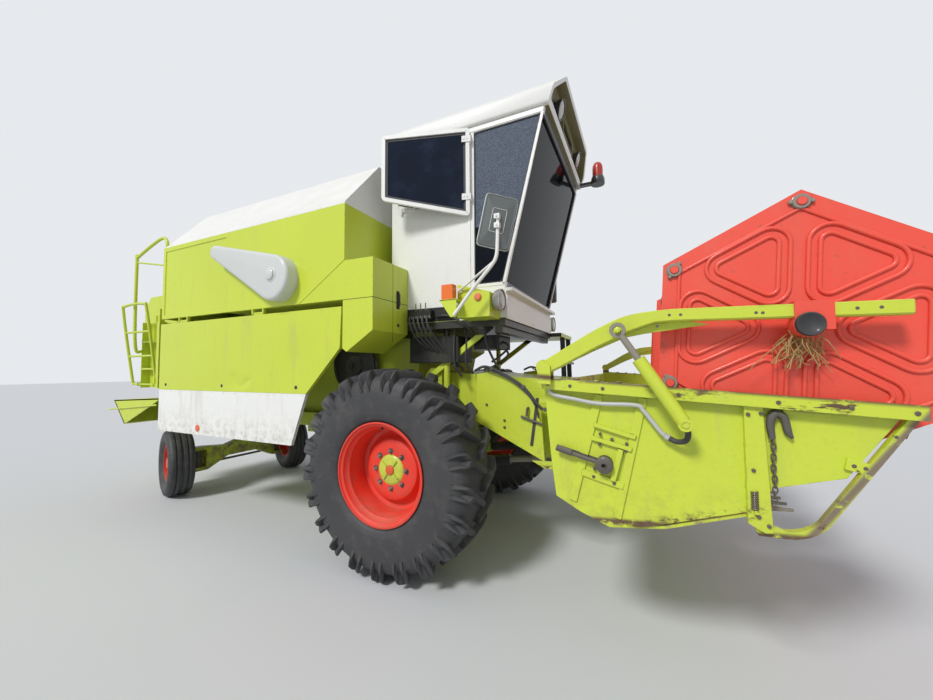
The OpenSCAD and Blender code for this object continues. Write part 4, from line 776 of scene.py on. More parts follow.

# Valves and hoses at the right edge of the platform. Cast valve block on a sheet under the cab's wall, with rubber
# hoses that hang to the feeder house and to the lift cylinders. Sheet, valve block and two blocks under the platform
# are near black: painted shade.
hose_black = rubber("hose_black", 0.3, 12.0)
shade_sheet_and_valves = joined(box((-258, -706, 1762), (372, -700.2, 1872)), box((-40, -760, 1775), (150, -706, 1850)),
                    box((180, -740, 1790), (300, -706, 1838)), box((430, -560, 1540), (640, -300, 1650)),
                    box((-120, -640, 1440), (330, -380, 1648)))
solid("valve_block", shade_sheet_and_valves, gap_and_shade_dark, "chassis", 30, 2.5)
runs = [[(x, -745, 1800), (x - 14, -775, 1788), (x + 6, -770, 1700), (x + 40 + k * 9, -700 + k * 10, 1600 - k * 14),
         (x + 150 + k * 12, -560, 1480 - k * 26)] for k, x in enumerate((-20, 20, 60, 100, 140))]
runs += [[(640, -470, 1600), (690, -480, 1560), (640, -500, 1500), (560, -520, 1440)],
         [(600, -350, 1560), (640, -360, 1500), (560, -420, 1420), (470, -440, 1380)],
         [(300, -640, 1702), (296, -648, 1560), (300, -640, 1420), (340, -600, 1330)],
         [(380, -600, 1702), (386, -608, 1560), (380, -606, 1440), (420, -560, 1352)],
         [(560, -640, 1702), (566, -652, 1600), (600, -640, 1500), (640, -600, 1400), (660, -560, 1340)],
         [(240, -738, 1800), (330, -742, 1786), (420, -730, 1720), (470, -640, 1650)]]
solid("platform_hoses", joined(*[tube(curve(run, 40), 9, 10) for run in runs]), hose_black,
      "chassis", 60)
fittings = joined(*[tube([(x, -748, 1790), (x - 4, -764, 1796)], 13, 6, (0, 0, 1)) for x in (-20, 20, 60, 100, 140)],
                  *[tube([(x, -735, 1850), (x + 8, -748, 1908)], 5, 8) for x in (0, 45, 90)],
                  bolts([(-180, -706, 1820), (-220, -706, 1790), (340, -706, 1850)], (0, -1, 0), 18, 8))
solid("valve_fittings", fittings, bare_steel, "chassis", 40)

# Cab roof. Moulded white shell that leans forward as a visor, its inner face painted olive as painted shade, two round
# work lamps and the air intake between them.
VISOR_SHADE = rgb(122, 118, 78)


def rounded(corners, radius, steps=4):
    """A loop of corners with each cut back to a small curve."""
    corners = np.asarray(corners, float)
    t = np.linspace(0, 1, steps + 1)[None, :, None]
    back, on = np.roll(corners, 1, 0) - corners, np.roll(corners, -1, 0) - corners
    start = corners + back / np.linalg.norm(back, axis=1, keepdims=True) * radius
    end = corners + on / np.linalg.norm(on, axis=1, keepdims=True) * radius
    spots = (1 - t) ** 2 * start[:, None] + 2 * t * (1 - t) * corners[:, None] + t ** 2 * end[:, None]
    return spots.reshape(-1, corners.shape[1])


CAB_TOP = 3245.3
VISOR_FOOT, VISOR_RUN, VISOR_RISE = 1080, 100, 289.7


def visor_x(z):
    """X of the visor's leaning front at a height."""
    return VISOR_FOOT + (z - CAB_TOP) * VISOR_RUN / VISOR_RISE


def inside_visor(f):
    """1 behind the visor's leaning mouth, apart from the outer skin, which faces up."""
    lean = f.math("SUBTRACT", f.along("X"), f.times(f.along("Z"), VISOR_RUN / VISOR_RISE))
    behind = f.math("LESS_THAN", lean, metres("X", VISOR_FOOT - 3) - metres("Z", CAB_TOP) * VISOR_RUN / VISOR_RISE)
    return f.times(behind, f.rest(f.facing_up(0.3, 0.5)))


# The visor's inner face, behind its leaning mouth, takes the olive: painted shade on white.
roof_shell = enamel("roof_shell", WHITE, [(VISOR_SHADE, both(within("Y", 0, 691), both(over("X", 1012), inside_visor)))],
                    rough=0.36, dust=0.5, seed=21.0)
roof_line = [(-725, CAB_TOP), (725, CAB_TOP), (725, 3367), (530, 3535), (-530, 3535), (-725, 3367)]
mouth_line = [(-690, 3286), (690, 3286), (690, 3352), (520, 3510), (-520, 3510), (-690, 3352)]
roof_loop, mouth_loop = rounded(roof_line, 22, 3), rounded(mouth_line, 20, 3)
tail_loop = roof_loop * [0.985, 1]
tail_loop[:, 1] = CAB_TOP + (tail_loop[:, 1] - CAB_TOP) * 0.97


def standing(loop, x):
    """A loop in Y and Z stood up at one X, or at an X for each point."""
    return np.stack([np.broadcast_to(x, len(loop)), loop[:, 0], loop[:, 1]], -1)


roof_rows = [standing(tail_loop, -305), standing(roof_loop, -290), standing(roof_loop, visor_x(roof_loop[:, 1]) - 3),
             standing(roof_loop * [0.998, 1], visor_x(roof_loop[:, 1])),
             standing(mouth_loop, visor_x(mouth_loop[:, 1])), standing(mouth_loop, visor_x(mouth_loop[:, 1]) - 80)]
grille = plate([[(-210, 3330), (210, 3330), (210, 3460), (-210, 3460)],
                [(-190, 3345), (190, 3345), (190, 3445), (-190, 3445)]], "X", 1030, 1088)
roof_piece = solid("roof_and_visor", joined(grid(np.stack(roof_rows), around=True, caps=True), grille), roof_shell,
                   "chassis", 30)
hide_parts("cab_roof")
slats = [box((1050, -190, z), (1078, 190, z + 3)) for z in np.arange(3352, 3442, 11.0)]
slats.append(box((1046, -190, 3346), (1050, 190, 3444)))
solid("grille_slats", joined(*slats), gap_and_shade_dark, "chassis", 30)


def frame_bar(corners, across, deep, facing):
    """A closed frame of rectangular section along a loop of corners, deep along the way it faces."""
    corners, facing = np.asarray(corners, float), np.asarray(facing, float) / np.linalg.norm(facing)
    before, after = np.roll(corners, 1, 0) - corners, np.roll(corners, -1, 0) - corners
    before /= np.linalg.norm(before, axis=1, keepdims=True)
    after /= np.linalg.norm(after, axis=1, keepdims=True)
    inward = before + after
    inward /= np.maximum(np.linalg.norm(np.cross(before, inward), axis=1, keepdims=True), 1e-6)
    rows = np.stack([corners, corners + inward * across, corners + inward * across + facing * deep,
                     corners + facing * deep], 1)
    return grid(rows, around=True, along=True)


# Glazing. Tinted safety glass held by black rubber gaskets; the quarter lights carry a dotted film on
# their upper part.
def tinted(name, first, second, film):
    """Dark glass seen from outside, smeared; film is a dotted coat above a height, or none."""
    f = Finish(name)
    smear = f.ramp(f.noise(5.0, 6.0, 0.6), 0.45, 0.8)
    tone = f.mix(smear, first, second)
    if film:
        dots = f.ramp(f.noise(240.0, 2.0, 0.5), 0.42, 0.6)
        tone = f.mix(f.times(f.past("Z", film, 3), f.math("MULTIPLY_ADD", dots, 0.45, 0.35)), tone, rgb(146, 156, 174))
    return f.set(Base_Color=tone, Roughness=f.math("MULTIPLY_ADD", smear, 0.06, 0.03), IOR=1.25,
                 Transmission_Weight=0.35, Specular_IOR_Level=0.12, Normal=f.bump(f.noise(3.0, 2.0), 0.0004, 0.2))


pane_glass = tinted("pane_glass", rgb(34, 42, 58), rgb(50, 60, 80), 0)
tinted_glass = tinted("tinted_glass", rgb(16, 20, 26), rgb(28, 33, 40), 0)
film_glass = tinted("film_glass", rgb(22, 27, 36), rgb(34, 40, 50), 2460)
screen = plate([[(716.9, 2020.3), (722.9, 2020.3), (1022.6, 3199.7), (1016.6, 3199.7)]], "Y", -683.7, 683.7)
rear_pane = plate([[(-449.7, 2300.3), (449.7, 2300.3), (449.7, 3149.7), (-449.7, 3149.7)]], "X", -244, -238)
glass_piece = solid("cab_panes", joined(screen, rear_pane), tinted_glass, "chassis", 30)
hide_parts("cab_glass")
quarter_pane = plate([[(500.3, 2020.3), (722.5, 2020.3), (1022.2, 3199.7), (500.3, 3199.7)]], "Y", 684, 690)
solid("quarter_panes", both_hands(quarter_pane), film_glass, "chassis", 30)
seal_rubber = rubber("seal_rubber", 0.25, 7.0)


def screen_point(z, y, out=0.0):
    """A point on the windscreen's opening, so far out along its normal."""
    slope = 320 / 1260
    length = math.hypot(1, slope)
    return (730 + (z - 1985) * slope + out / length, y, z - out * slope / length)


def loop_at(points, out):
    """A loop of Y and Z laid on the windscreen's opening, so far out."""
    return [screen_point(z, y, out) for y, z in points]


screen_loop = [(-684, 2020), (684, 2020), (684, 3200), (-684, 3200)]
seals = [frame_bar(rounded(loop_at(screen_loop, -16), 50, 6), 9, 15, (1, 0, -0.254))]
for hand in (-1, 1):
    seals.append(frame_bar(rounded([(x, 687 * hand, z) for x, z in quarter_hole], 30, 5), 8, 11, (0, hand, 0)))
seals.append(frame_bar(rounded([(-246, y, z) for y, z in rear_hole], 60, 6), 16, 16, (-1, 0, 0)))
solid("window_seals", joined(*seals), seal_rubber, "chassis", 30, 1.5)

# Side window. A framed pane that stands ajar on two hinges at the middle post, with a rubber seal.
SIDE_PIN = np.array([475.0, -718.0, 0.0])
turn_window = np.array(Matrix.Rotation(math.radians(17), 3, "Z"))


def ajar(part):
    """A part drawn in the window's own frame, placed at its pin and turned."""
    points, faces = part
    return np.asarray(points, float) @ turn_window.T + SIDE_PIN, faces


frame_loop = rounded([(-700, -14, 2710), (0, -14, 2540), (0, -14, 3230), (-700, -14, 3230)], 36, 5)
pane_loop = rounded([(-672, -4, 2732), (-28, -4, 2575), (-28, -4, 3202), (-672, -4, 3202)], 22, 5)
window_frame = solid("window_frame", ajar(frame_bar(frame_loop, 30, 28, (0, 1, 0))), plain_white, "chassis",
                     30, 3.0)
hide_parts("side_window")
solid("window_seal", ajar(frame_bar(pane_loop, 20, 9, (0, 1, 0))), seal_rubber, "chassis", 30, 2.0)
pane = np.stack([np.asarray(pane_loop), np.asarray(pane_loop) + [0, 6, 0]])
solid("window_pane", ajar(grid(pane + [0, 2, 0], around=True, caps=True)), pane_glass, "chassis", 30)
brackets = []
for z in (2690, 3140):
    brackets += [box((-60, -20, z - 24), (10, -12, z + 24)), tube([(0, 4, z - 32), (0, 4, z + 32)], 14, 16, (1, 0, 0)),
                 bolts([(-44, -19, z), (-20, -19, z)], (0, -1, 0), 14, 5, 6)]
brackets += [box((-672, 12, 2860), (-650, 40, 2910)),
             tube([(-660, 30, 2885), (-560, 42, 2800), (-470, 52, 2790)], 6, 10)]
filler = plate([[(-200, 2670), (450, 2500), (450, 2562), (-200, 2762)]], "Y", -699, -672)
solid("window_filler", joined(filler, box((-150, -712, 2690), (-20, -697, 2712)),
                              box((-168, -716, 2668), (-150, -700, 2720))), plain_white, "chassis",
      30, 1.0)
solid("window_hinges", ajar(joined(*brackets)), plain_white, "chassis", 30, 1.0)

# Operator's seat. Foam cushions in black vinyl, a welt round the seat cushion, on a steel pan and a boxed
# suspension; armrests on flat bars.
def cushion(middle, half, power=0.32, crown=0.12, steps=(40, 80)):
    """A crowned closed form: a rounded box whose sides pull in between its corners."""
    v = np.linspace(-np.pi / 2, np.pi / 2, steps[0])[1:-1, None]
    u = np.linspace(0, 2 * np.pi, steps[1], endpoint=False)[None]
    eased = lambda wave, e: np.sign(wave) * np.abs(wave) ** e
    x = eased(np.cos(v), power) * eased(np.cos(u), power)
    y = eased(np.cos(v), power) * eased(np.sin(u), power)
    z = eased(np.sin(v), 0.55) + 0 * u
    z = z + np.sign(z) * crown * (np.cos(x * np.pi / 2) * np.cos(y * np.pi / 2))
    pull = 1 - 0.035 * (np.cos(x * np.pi / 2) + np.cos(y * np.pi / 2)) * (1 - np.abs(z) ** 4 * 0.5)
    spots = np.stack([x * pull, y * pull, z], -1) * half
    return grid(spots + middle, around=True, caps=True)


def leaning(part, pivot, degrees):
    """A part turned about a line along Y through a pivot."""
    points, faces = part
    turn = np.array(Matrix.Rotation(math.radians(degrees), 3, "Y"))
    return (np.asarray(points, float) - pivot) @ turn.T + pivot, faces


vinyl = Finish("black_vinyl")
grain = vinyl.add("ShaderNodeTexVoronoi")
grain.inputs["Scale"].default_value = 420.0
black_vinyl = vinyl.set(Base_Color=vinyl.mix(vinyl.noise(8.0), rgb(34, 34, 36), rgb(52, 51, 50)), Roughness=0.48,
                        Normal=vinyl.bump(grain.outputs["Distance"], 0.0006, 0.6))
seat_pad = solid("seat_cushion", cushion(np.array([90.0, 0, 2138]), np.array([206.0, 232, 48])), black_vinyl,
                 "chassis", 60)
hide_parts("operator_seat")
back_pad = solid("back_cushion",
                 leaning(cushion(np.array([-118.0, 0, 2420]), np.array([38.0, 222, 232])), (-118, 0, 2420), -6),
                 black_vinyl, "chassis", 60)
welt_path = rounded([(-112, -226, 2128), (292, -226, 2128), (292, 226, 2128), (-112, 226, 2128)], 70, 8)


def hoop(path, radius, sides=8, up=(0.05, 0.02, 1.0)):
    """A closed ring of round section along a loop of points."""
    path = np.asarray(path, float)
    ahead = np.roll(path, -1, 0) - np.roll(path, 1, 0)
    return grid(rings(path, ahead, radius, sides, up), around=True, along=True)


solid("seat_welt", hoop(welt_path, 5), black_vinyl, "chassis", 60)
dull_black = enamel("dull_black", rgb(44, 45, 47), rough=0.55, dust=0.3, chips=0.2, seed=22.0)
pan = joined(box((-100, -200, 2070), (270, 200, 2096)),
             *[box((-70 + k * 5, -150 + k * 5, 1762 + k * 62), (190 - k * 5, 150 - k * 5, 1812 + k * 62))
               for k in range(5)], box((-150, -24, 2090), (-128, 24, 2560)),
             *[box((-130, y, 2250), (150, y + 44, 2282)) for y in (-246, 202)])
solid("seat_frame", pan, dull_black, "chassis", 30, 3.0)

# Steering column. A steel tube from the floor under a moulded wheel with three spokes.
wear(dull_black, "steering_column")

# Lamps. Moulded black housings and steel rims with clear ribbed lenses; amber and red plastic for the
# indicators, the marker, the rear lamps and the turning beacon.
def region(x0, x1, y0, y1, z0, z1):
    """Share that is 1 inside a box of the machine's drawings, on both sides of the machine."""
    def share(f):
        inside = f.times(f.past("X", x0), under("X", x1)(f))
        inside = f.times(inside, f.times(f.past("Z", z0), under("Z", z1)(f)))
        away = f.math("ABSOLUTE", f.along("Y"))
        band = f.times(f.ramp(away, y0 / 1000 - 0.0005, y0 / 1000 + 0.0005),
                      f.rest(f.ramp(away, y1 / 1000 - 0.0005, y1 / 1000 + 0.0005)))
        return f.times(inside, band)
    return share


lamp_body = enamel("lamp_body", rgb(58, 58, 58), [
    (rgb(236, 112, 30), region(380, 475, 930, 1270, 1740, 1990)),
    (rgb(232, 124, 88), region(580, 650, 900.5, 917, 1840, 1930)),
    (rgb(158, 156, 150), region(699, 764, 735, 895, 1780, 1945)),
    (rgb(176, 40, 18), region(1200, 1330, 600, 740, 3318, 3480)),
    (rgb(190, 24, 20), region(-2860, -2809, 950, 1070, 2030, 2110)),
    (rgb(232, 120, 30), region(-2860, -2809, 950, 1070, 1950, 2030))],
    rough=0.3, dust=0.12, waves=0.0, seed=23.0)


def round_lamp(radius, depth):
    """Profile of a round lamp's housing from its back to the rim round the lens."""
    return [[0.5, 0], [radius * 0.62, 0], [radius * 0.86, depth * 0.25], [radius * 0.97, depth * 0.6],
            [radius, depth - 4], [radius, depth], [radius - 6, depth], [radius - 7, depth - 8], [0.5, depth - 8]]


lean = math.radians(19.05)
housings = [along_x(lathe(round_lamp(78, 60), 56, (0, 0, 0)), (700.3, 815 * hand, 1863)) for hand in (-1, 1)]
housings += [along_x(lathe(round_lamp(74, 62), 56, (0, 0, 0)), (1056, y, 3404.6), lean) for y in (-390, 390)]
beacon = upright([(64, 3240), (66, 3246), (66, 3290), (58, 3316), (50, 3322), (50, 3400), (47, 3430), (36, 3455),
                  (18, 3468), (2, 3471)], 1260, 670, 48)
tails = both_hands(joined(box((-2850, 962, 1962), (-2810.3, 1058, 2098)),
                          *[box((-2856, 968, z), (-2849, 1052, z + 60)) for z in (1966, 2034)]))
marker = lathe([[0.5, -16], [20, -15], [25, -11], [27, -6], [27, 0], [0.5, 0]], 40, (614, -900.3, 1883))
ribs = [box((383, y, z), (385.5, y + 60, z + 3)) for y, z0 in ((-1005, 1866), (1200, 1761))
        for z in np.arange(z0 + 6, z0 + 98, 9.0)]
blinkers = [box((385, -1005, 1865.3), (470, -945, 1968)), box((385, 1200, 1760.3), (470, 1260, 1863))]
lamp_shells = solid("lamp_housings", joined(*housings, beacon, tails, marker, *ribs, *blinkers,
                                            plate([[(1085, 3251), (1260, 3251), (1260, 3274), (1092, 3274)]], "Y",
                                                  642, 698)), lamp_body, "chassis", 35)
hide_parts("lamps")
glass = Finish("clear_lens")
flutes = glass.add("ShaderNodeTexWave", wave_type="BANDS", bands_direction="Y")
flutes.inputs["Scale"].default_value = 26.0
clear_lens = glass.set(Base_Color=glass.mix(glass.noise(12.0), rgb(206, 202, 186), rgb(172, 168, 152)),
                       Roughness=0.12, IOR=1.5, Transmission_Weight=0.35, Coat_Weight=0.6,
                       Normal=glass.bump(flutes.outputs["Fac"], 0.0015, 0.6))


def dome(middle, axis, radius, height, steps=40, levels=6):
    """A shallow round lens with a flat back."""
    axis = np.asarray(axis, float) / np.linalg.norm(axis)
    first = np.cross(axis, (0, 0.2, 1.0))
    first /= np.linalg.norm(first)
    second = np.cross(axis, first)
    turn = np.arange(steps) * 2 * np.pi / steps
    flat = np.cos(turn)[:, None] * first + np.sin(turn)[:, None] * second
    tilt = np.linspace(0, 0.97, levels) * np.pi / 2
    rows = np.stack([flat * radius * np.cos(a) ** 0.8 + axis * height * np.sin(a) for a in tilt])
    return grid(np.concatenate([(flat * radius - axis * 2)[None], rows]) + np.asarray(middle, float),
                around=True, caps=True)


VISOR_X, VISOR_Z = VISOR_FOOT - 25, CAB_TOP + 0.55 * VISOR_RISE
facing = np.array([math.cos(lean), 0, -math.sin(lean)])
lenses = [dome((752, 815 * hand, 1863), (1, 0, 0), 71, 14) for hand in (-1, 1)]
lenses += [dome(np.array([VISOR_X, y, VISOR_Z]) + facing * 55, facing, 66, 8) for y in (-390, 390)]
solid("lamp_lenses", joined(*lenses), clear_lens, "chassis", 40)
t = np.linspace(0, 2 * np.pi, 48, endpoint=False)
lamp_ring = np.stack([0 * t, 75 * np.cos(t), 75 * np.sin(t)], -1)
rims = [hoop(lamp_ring + [760, 815 * hand, 1863], 5, 8, (1, 0, 0.01)) for hand in (-1, 1)]
bright_steel = enamel("bright_steel", rgb(176, 176, 172), rough=0.3, dust=0.2, chips=0.3, seed=24.0)
solid("lamp_rims", joined(*rims), bright_steel, "chassis", 60)

# Mirrors. Glass in moulded black housings with a stepped back, clamped to a bent white tube at the
# right and to a post at the left.
def mirror_turn(turn, roll):
    """A mirror's turn: rolled about Y first, then turned about the vertical, both in degrees."""
    return np.array(Matrix.Rotation(math.radians(turn), 3, "Z") @ Matrix.Rotation(math.radians(roll), 3, "Y"))


def mirror_loop(w, h, y, radius):
    """Rounded rectangle of a mirror at one depth, from its half width and half height."""
    return rounded([(-w, y, -h), (w, y, -h), (w, y, h), (-w, y, h)], radius, 5)


def housing(middle, turn, roll):
    """Housing and glass of a mirror: rounded loops from the rim over the back to its raised middle."""
    loops = [mirror_loop(*form) for form in (
        (96, 166, 17, 18), (101, 171, 23, 22), (105, 175, 20, 26), (105, 175, -8, 26), (99, 169, -13, 24),
        (93, 163, -11, 22), (46, 78, -24, 10), (40, 70, -25, 8))]
    pane = [loops[0] * [1, 0, 1] + [0, y, 0] for y in (13, 17)]
    place = mirror_turn(turn, roll)
    return [grid(np.stack(rows) @ place.T + middle, around=True, caps=True) for rows in (loops, pane)]


mirror_black = enamel("mirror_black", rgb(92, 98, 96), rough=0.5, dust=0.3, chips=0.2, seed=25.0)
RIGHT_MIRROR = (800, -1000, 2340)
right_mirror, right_pane = housing(RIGHT_MIRROR, 30, 12)
left_mirror, left_pane = housing((610, 1200, 2340), -10, 0)
shells = solid("mirror_housings", joined(right_mirror, left_mirror), mirror_black, "chassis", 25, 1.0)
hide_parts("mirrors")
edges = [hoop(mirror_loop(*form) @ mirror_turn(30, 12).T + RIGHT_MIRROR, thick)
         for form, thick in (((105, 175, 0, 26), 4.5), ((46, 78, -25, 10), 2.2))]
solid("mirror_edge", joined(*edges), guard_grey, "chassis", 60)
silver = Finish("mirror_glass")
smears = silver.ramp(silver.noise(9.0), 0.5, 3.0)
mirror_glass = silver.set(Base_Color=rgb(190, 196, 200), Metallic=0.9, Roughness=smears)
solid("mirror_panes", joined(right_pane, left_pane), mirror_glass, "chassis", 40)
stalks = joined(tube(curve([(490, -1022, 1750), (640, -1022, 1925), (760, -1022, 2050), (797, -1022, 2110),
                            (806, -1022, 2200), (810, -1022, 2350)], 48), 12, 14, (0, 1, 0.02)),
                tube([(480, -912, 1940), (775, -1022, 2075)], 8, 12), box((465, -912, 1925), (495, -900, 1955)),
                tube([(600, 1200, 1760), (600, 1200, 2300)], 14, 14, (1, 0, 0)),
                box((792, -1046, 2290), (828, -1016, 2322)), box((792, -1046, 2350), (828, -1016, 2380)),
                bolts([(810, -1046, 2306), (810, -1046, 2365)], (0, -1, 0), 14, 7))
solid("mirror_stalks", stalks, plain_white, "chassis", 30)

# Steps and handrail at the left. Two folded stringers with four punched treads, and a bent rail.
stringers = [plate([[(840, 500), (890, 500), (860, 1720), (810, 1720)]], "Y", y, y + 20) for y in (880, 1210)]
tread = [[(800, 899), (900, 899), (900, 1211), (800, 1211)]]
tread += [[(820, y), (880, y), (880, y + 45), (820, y + 45)] for y in (920, 995, 1070, 1145)]
treads = [plate(tread, "Z", 560 + 290 * i, 585 + 290 * i) for i in range(4)]
grab = tube(curve([(540, 1280, 1760), (540, 1280, 2560), (480, 1280, 2650), (0, 1280, 2650),
                   (-60, 1280, 2560), (-60, 1280, 1760)], 80), 16, 14, (0, 1, 0.02))
climb = solid("steps_and_rail", joined(*stringers, *treads, grab), dark_iron, "chassis", 35, 1.5)
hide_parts("access_steps")

# Feeder house and header. Welded sheet over a tube frame, repainted in the field with a brush: bare and
# rusty along the rails, the runner and the lower edges, where straw and soil rub.
def near_line(x0, z0, x1, z1, reach, soft):
    """Share that is 1 within reach of a line in X and Z, in millimetres."""
    (ax, _, az), (bx, _, bz) = at(x0, 0, z0), at(x1, 0, z1)
    length = math.hypot(bx - ax, bz - az)
    nx, nz = -(bz - az) / length, (bx - ax) / length

    def share(f):
        first = f.times(f.math("SUBTRACT", f.along("X"), ax), nx)
        gap = f.math("ADD", first, f.times(f.math("SUBTRACT", f.along("Z"), az), nz))
        return f.rest(f.ramp(f.math("ABSOLUTE", gap), (reach - soft) / 1000, (reach + soft) / 1000))
    return share


def patches(share, low, high, scale, seed, stretch=(1, 1, 1)):
    """A share broken up into patches by noise."""
    return lambda f: f.times(share(f), f.ramp(f.noise(scale, 7.0, 0.7, stretch, seed), low, high))


RUSTY = rgb(92, 66, 44)
WORN = rgb(126, 112, 92)
lever_iron = rgb(84, 82, 78)


def edge_wear(x0, z0, x1, z1, reach, soft, low, high, seed):
    """Patches of wear along a line in X and Z, drawn out upward and downward."""
    return patches(near_line(x0, z0, x1, z1, reach, soft), low, high, 13.0, seed, (1, 1, 1.6))


rail_wear = patches(both(near_line(1190, 1325, 2470, 1240, 34, 10), over("X", 1700, 250)), 0.53, 0.59, 11.0, 5.3,
                    (0.5, 1, 2))
side_green = enamel("side_green", GREEN, [
    (RUSTY, edge_wear(1190, 1351, 2470, 1265, 12, 9, 0.36, 0.48, 3.1)),
    (RUSTY, rail_wear),
    (RUSTY, edge_wear(1482, 690, 1978, 832, 17, 14, 0.49, 0.62, 7.7)),
    (WORN, edge_wear(2160, 770, 2470, 1225, 13, 9, 0.30, 0.4, 9.2)),
    (RUSTY, edge_wear(2010, 755, 2180, 768, 14, 9, 0.34, 0.45, 1.9)),
    (RUSTY, patches(both(near_line(2160, 770, 2470, 1225, 46, 8), over("Z", 780)), 0.62, 0.66, 16.0, 2.2)),
    (lever_iron, lambda f: f.rest(f.ramp(f.from_axle(1468, 967), 0.0345, 0.0355))),
    (lever_iron, both(near_line(1285, 1016, 1468, 967, 11, 0.5), both(under("X", 1465), over("X", 1275)))),
    (lever_iron, both(near_line(2004, 922, 2004, 852, 0, 0.1), over("X", 1980)))],
    rough=0.4, dust=0.2, chips=0.5, mud=0.35, waves=0.003, seed=13.0)
feeder_green = enamel("feeder_green", GREEN, [(RUSTY, edge_wear(992, 690, 1188, 700, 22, 14, 0.45, 0.55, 4.4))],
                      rough=0.42, dust=0.35, chips=0.5, mud=0.4, waves=0.003, seed=14.0)
trough_green = enamel("trough_green", GREEN, [(rgb(148, 132, 104), patches(within("Y", 0, 1452), 0.5, 0.62, 5.0, 8.8))],
                      rough=0.38, dust=0.5, chips=0.6, mud=0.3, waves=0.003, seed=15.0)
worn_steel = enamel("worn_steel", rgb(140, 134, 122), rough=0.34, dust=0.25, chips=0.9, seed=26.0)
wear(side_green, "header_sides")
wear(trough_green, "header_trough")
arc_turn = np.radians(np.linspace(72.4, 30.3, 12))
cheek_top = np.stack([440 + 613 * np.cos(arc_turn), 786 + 613 * np.sin(arc_turn)], -1).tolist()
house = [plate([[(80, 1370), (1188, 1290), (1188, 760), (1020, 735), (500, 1050), (150, 1060), (60, 1180)]],
               "Y", 460, 480),
         plate([[(468, 992), (479, 1349)] + cheek_top + [(992, 736)]], "Y", 600, 625),
         plate([[(900, 736), (992, 690), (1188, 700), (1188, 1290), (1140, 1290), (1140, 745), (992, 740)]],
               "Y", 600, 626),
         box((900, 600, 1140), (1180, 626, 1175)), box((520, 475, 1170), (556, 605, 1205)),
         box((1140, 475, 1170), (1176, 605, 1205)),
         plate([[(930, 790), (935, 672), (1005, 672), (1010, 790)]], "Y", 294, 310),
         plate([[(930, 790), (935, 672), (1005, 672), (1010, 790)]], "Y", 346, 362),
         tube([(970, 298, 700), (970, 358, 700)], 13, 16, (1, 0, 0)),
         tube([(90, 470, 1330), (90, 584, 1330)], 45, 32, (1, 0, 0))]
duct = [plate([[(80, 1370), (1188, 1290), (1188, 1268), (80, 1348)]], "Y", -479, 479),
        plate([[(60, 1180), (150, 1060), (500, 1050), (1020, 735), (1188, 760), (1188, 782), (1012, 757), (506, 1072),
                (162, 1081), (78, 1190)]], "Y", -479, 479)]
house_piece = solid("feeder_sheets", joined(both_hands(joined(*house)), *duct), feeder_green, "header",
                    30, 2.0)
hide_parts("feeder_house")
wear(worn_steel, "cutter_bar", "lift_rods", "reel_rods")
cylinder_green = enamel("cylinder_green", GREEN, rough=0.36, dust=0.2, chips=0.5, seed=27.0)
wear(cylinder_green, "reel_barrels")
wear(dull_black, "lift_barrels")

# Small parts of the header's outer face: bolts, the reel's oil pipe with its hose, the hook of the
# crop divider with its chain, and the spring of its latch. Black hose, zinc-plated pipe, forged steel.
OUT = 1459.0
zinc = enamel("zinc_pipe", rgb(186, 188, 184), rough=0.3, dust=0.2, chips=0.4, seed=28.0)
forged = enamel("forged_iron", rgb(88, 84, 78), rough=0.55, dust=0.35, chips=0.9, seed=29.0)
black_hose = rubber("black_hose", 0.3, 9.0)


def strip(x0, z0, x1, z1, width):
    """Corners of a straight bar of a width between two points in X and Z."""
    start, end = np.array([x0, z0]), np.array([x1, z1])
    way = (end - start) / math.hypot(x1 - x0, z1 - z0)
    aside = np.array([-way[1], way[0]]) * width / 2
    return [start + aside, end + aside, end - aside, start - aside]


side_bars = ((1450, 1270, 1326, 786, 36, 9), (1628, 1260, 1512, 735, 36, 9), (1425, 1137, 1597, 1091, 18, 20),
             (1416, 1078, 1580, 1038, 18, 20), (1369, 921, 1544, 876, 30, 12), (1536, 1035, 1500, 897, 22, 24),
             (2270, 1048, 2340, 1030, 40, 14), (2100, 1225, 2240, 1215, 22, 14))
bars = [plate([strip(*bar[:5])], "Y", 1458, OUT + bar[5]) for bar in side_bars]
bars += [plate([[(x, 1292), (x + 26, 1290), (x + 26, 1350 - (x - 1190) * 0.067), (x, 1352 - (x - 1190) * 0.067)]],
               "Y", 1451, 1467) for x in (1340, 1430, 1520)]
bars.append(plate([[(1995, 852), (2012, 852), (2012, 838), (1995, 838)]], "Y", 1480, 1500))
solid("side_bars", both_hands(joined(*bars)), side_green, "header", 30, 2.0)
cheek_hose = tube(curve([(470, 640, 1375), (560, 644, 1404), (700, 644, 1350), (850, 644, 1258), (960, 644, 1128),
                         (1010, 640, 1100), (1120, 640, 1090)], 80), 10, 10, (0, 1, 0.01))
thin_hose = tube(curve([(560, 650, 1388), (740, 652, 1318), (880, 652, 1212), (940, 650, 1120), (960, 646, 1040)],
                       60), 6, 8, (0, 1, 0.01))
slot = plate([strip(948, 1180, 900, 842, 20)], "Y", 625, 631)
solid("cheek_hoses", both_hands(joined(cheek_hose, thin_hose, slot)), black_hose, "header", 50)
clamps = [tube([(x, 625, z), (x, 656, z)], 14, 10, (1, 0, 0)) for x, z in ((610, 1391), (850, 1258), (1005, 1103))]
clamps += [bolts([(x, 626, z) for x, z in ((700, 1010), (700, 960), (560, 1120), (1100, 1230),
                                           (1100, 880), (1160, 760))], (0, 1, 0), 20, 9)]
clamps += [tube([(830, 640, 1046), (905, 640, 1022), (985, 640, 998)], 9, 10, (0, 1, 0.01)),
           tube([(880, 626, 1110), (880, 650, 1110), (872, 650, 1050)], 8, 8, (1, 0.2, 0))]
solid("cheek_fittings", both_hands(joined(*clamps)), forged, "header", 40)
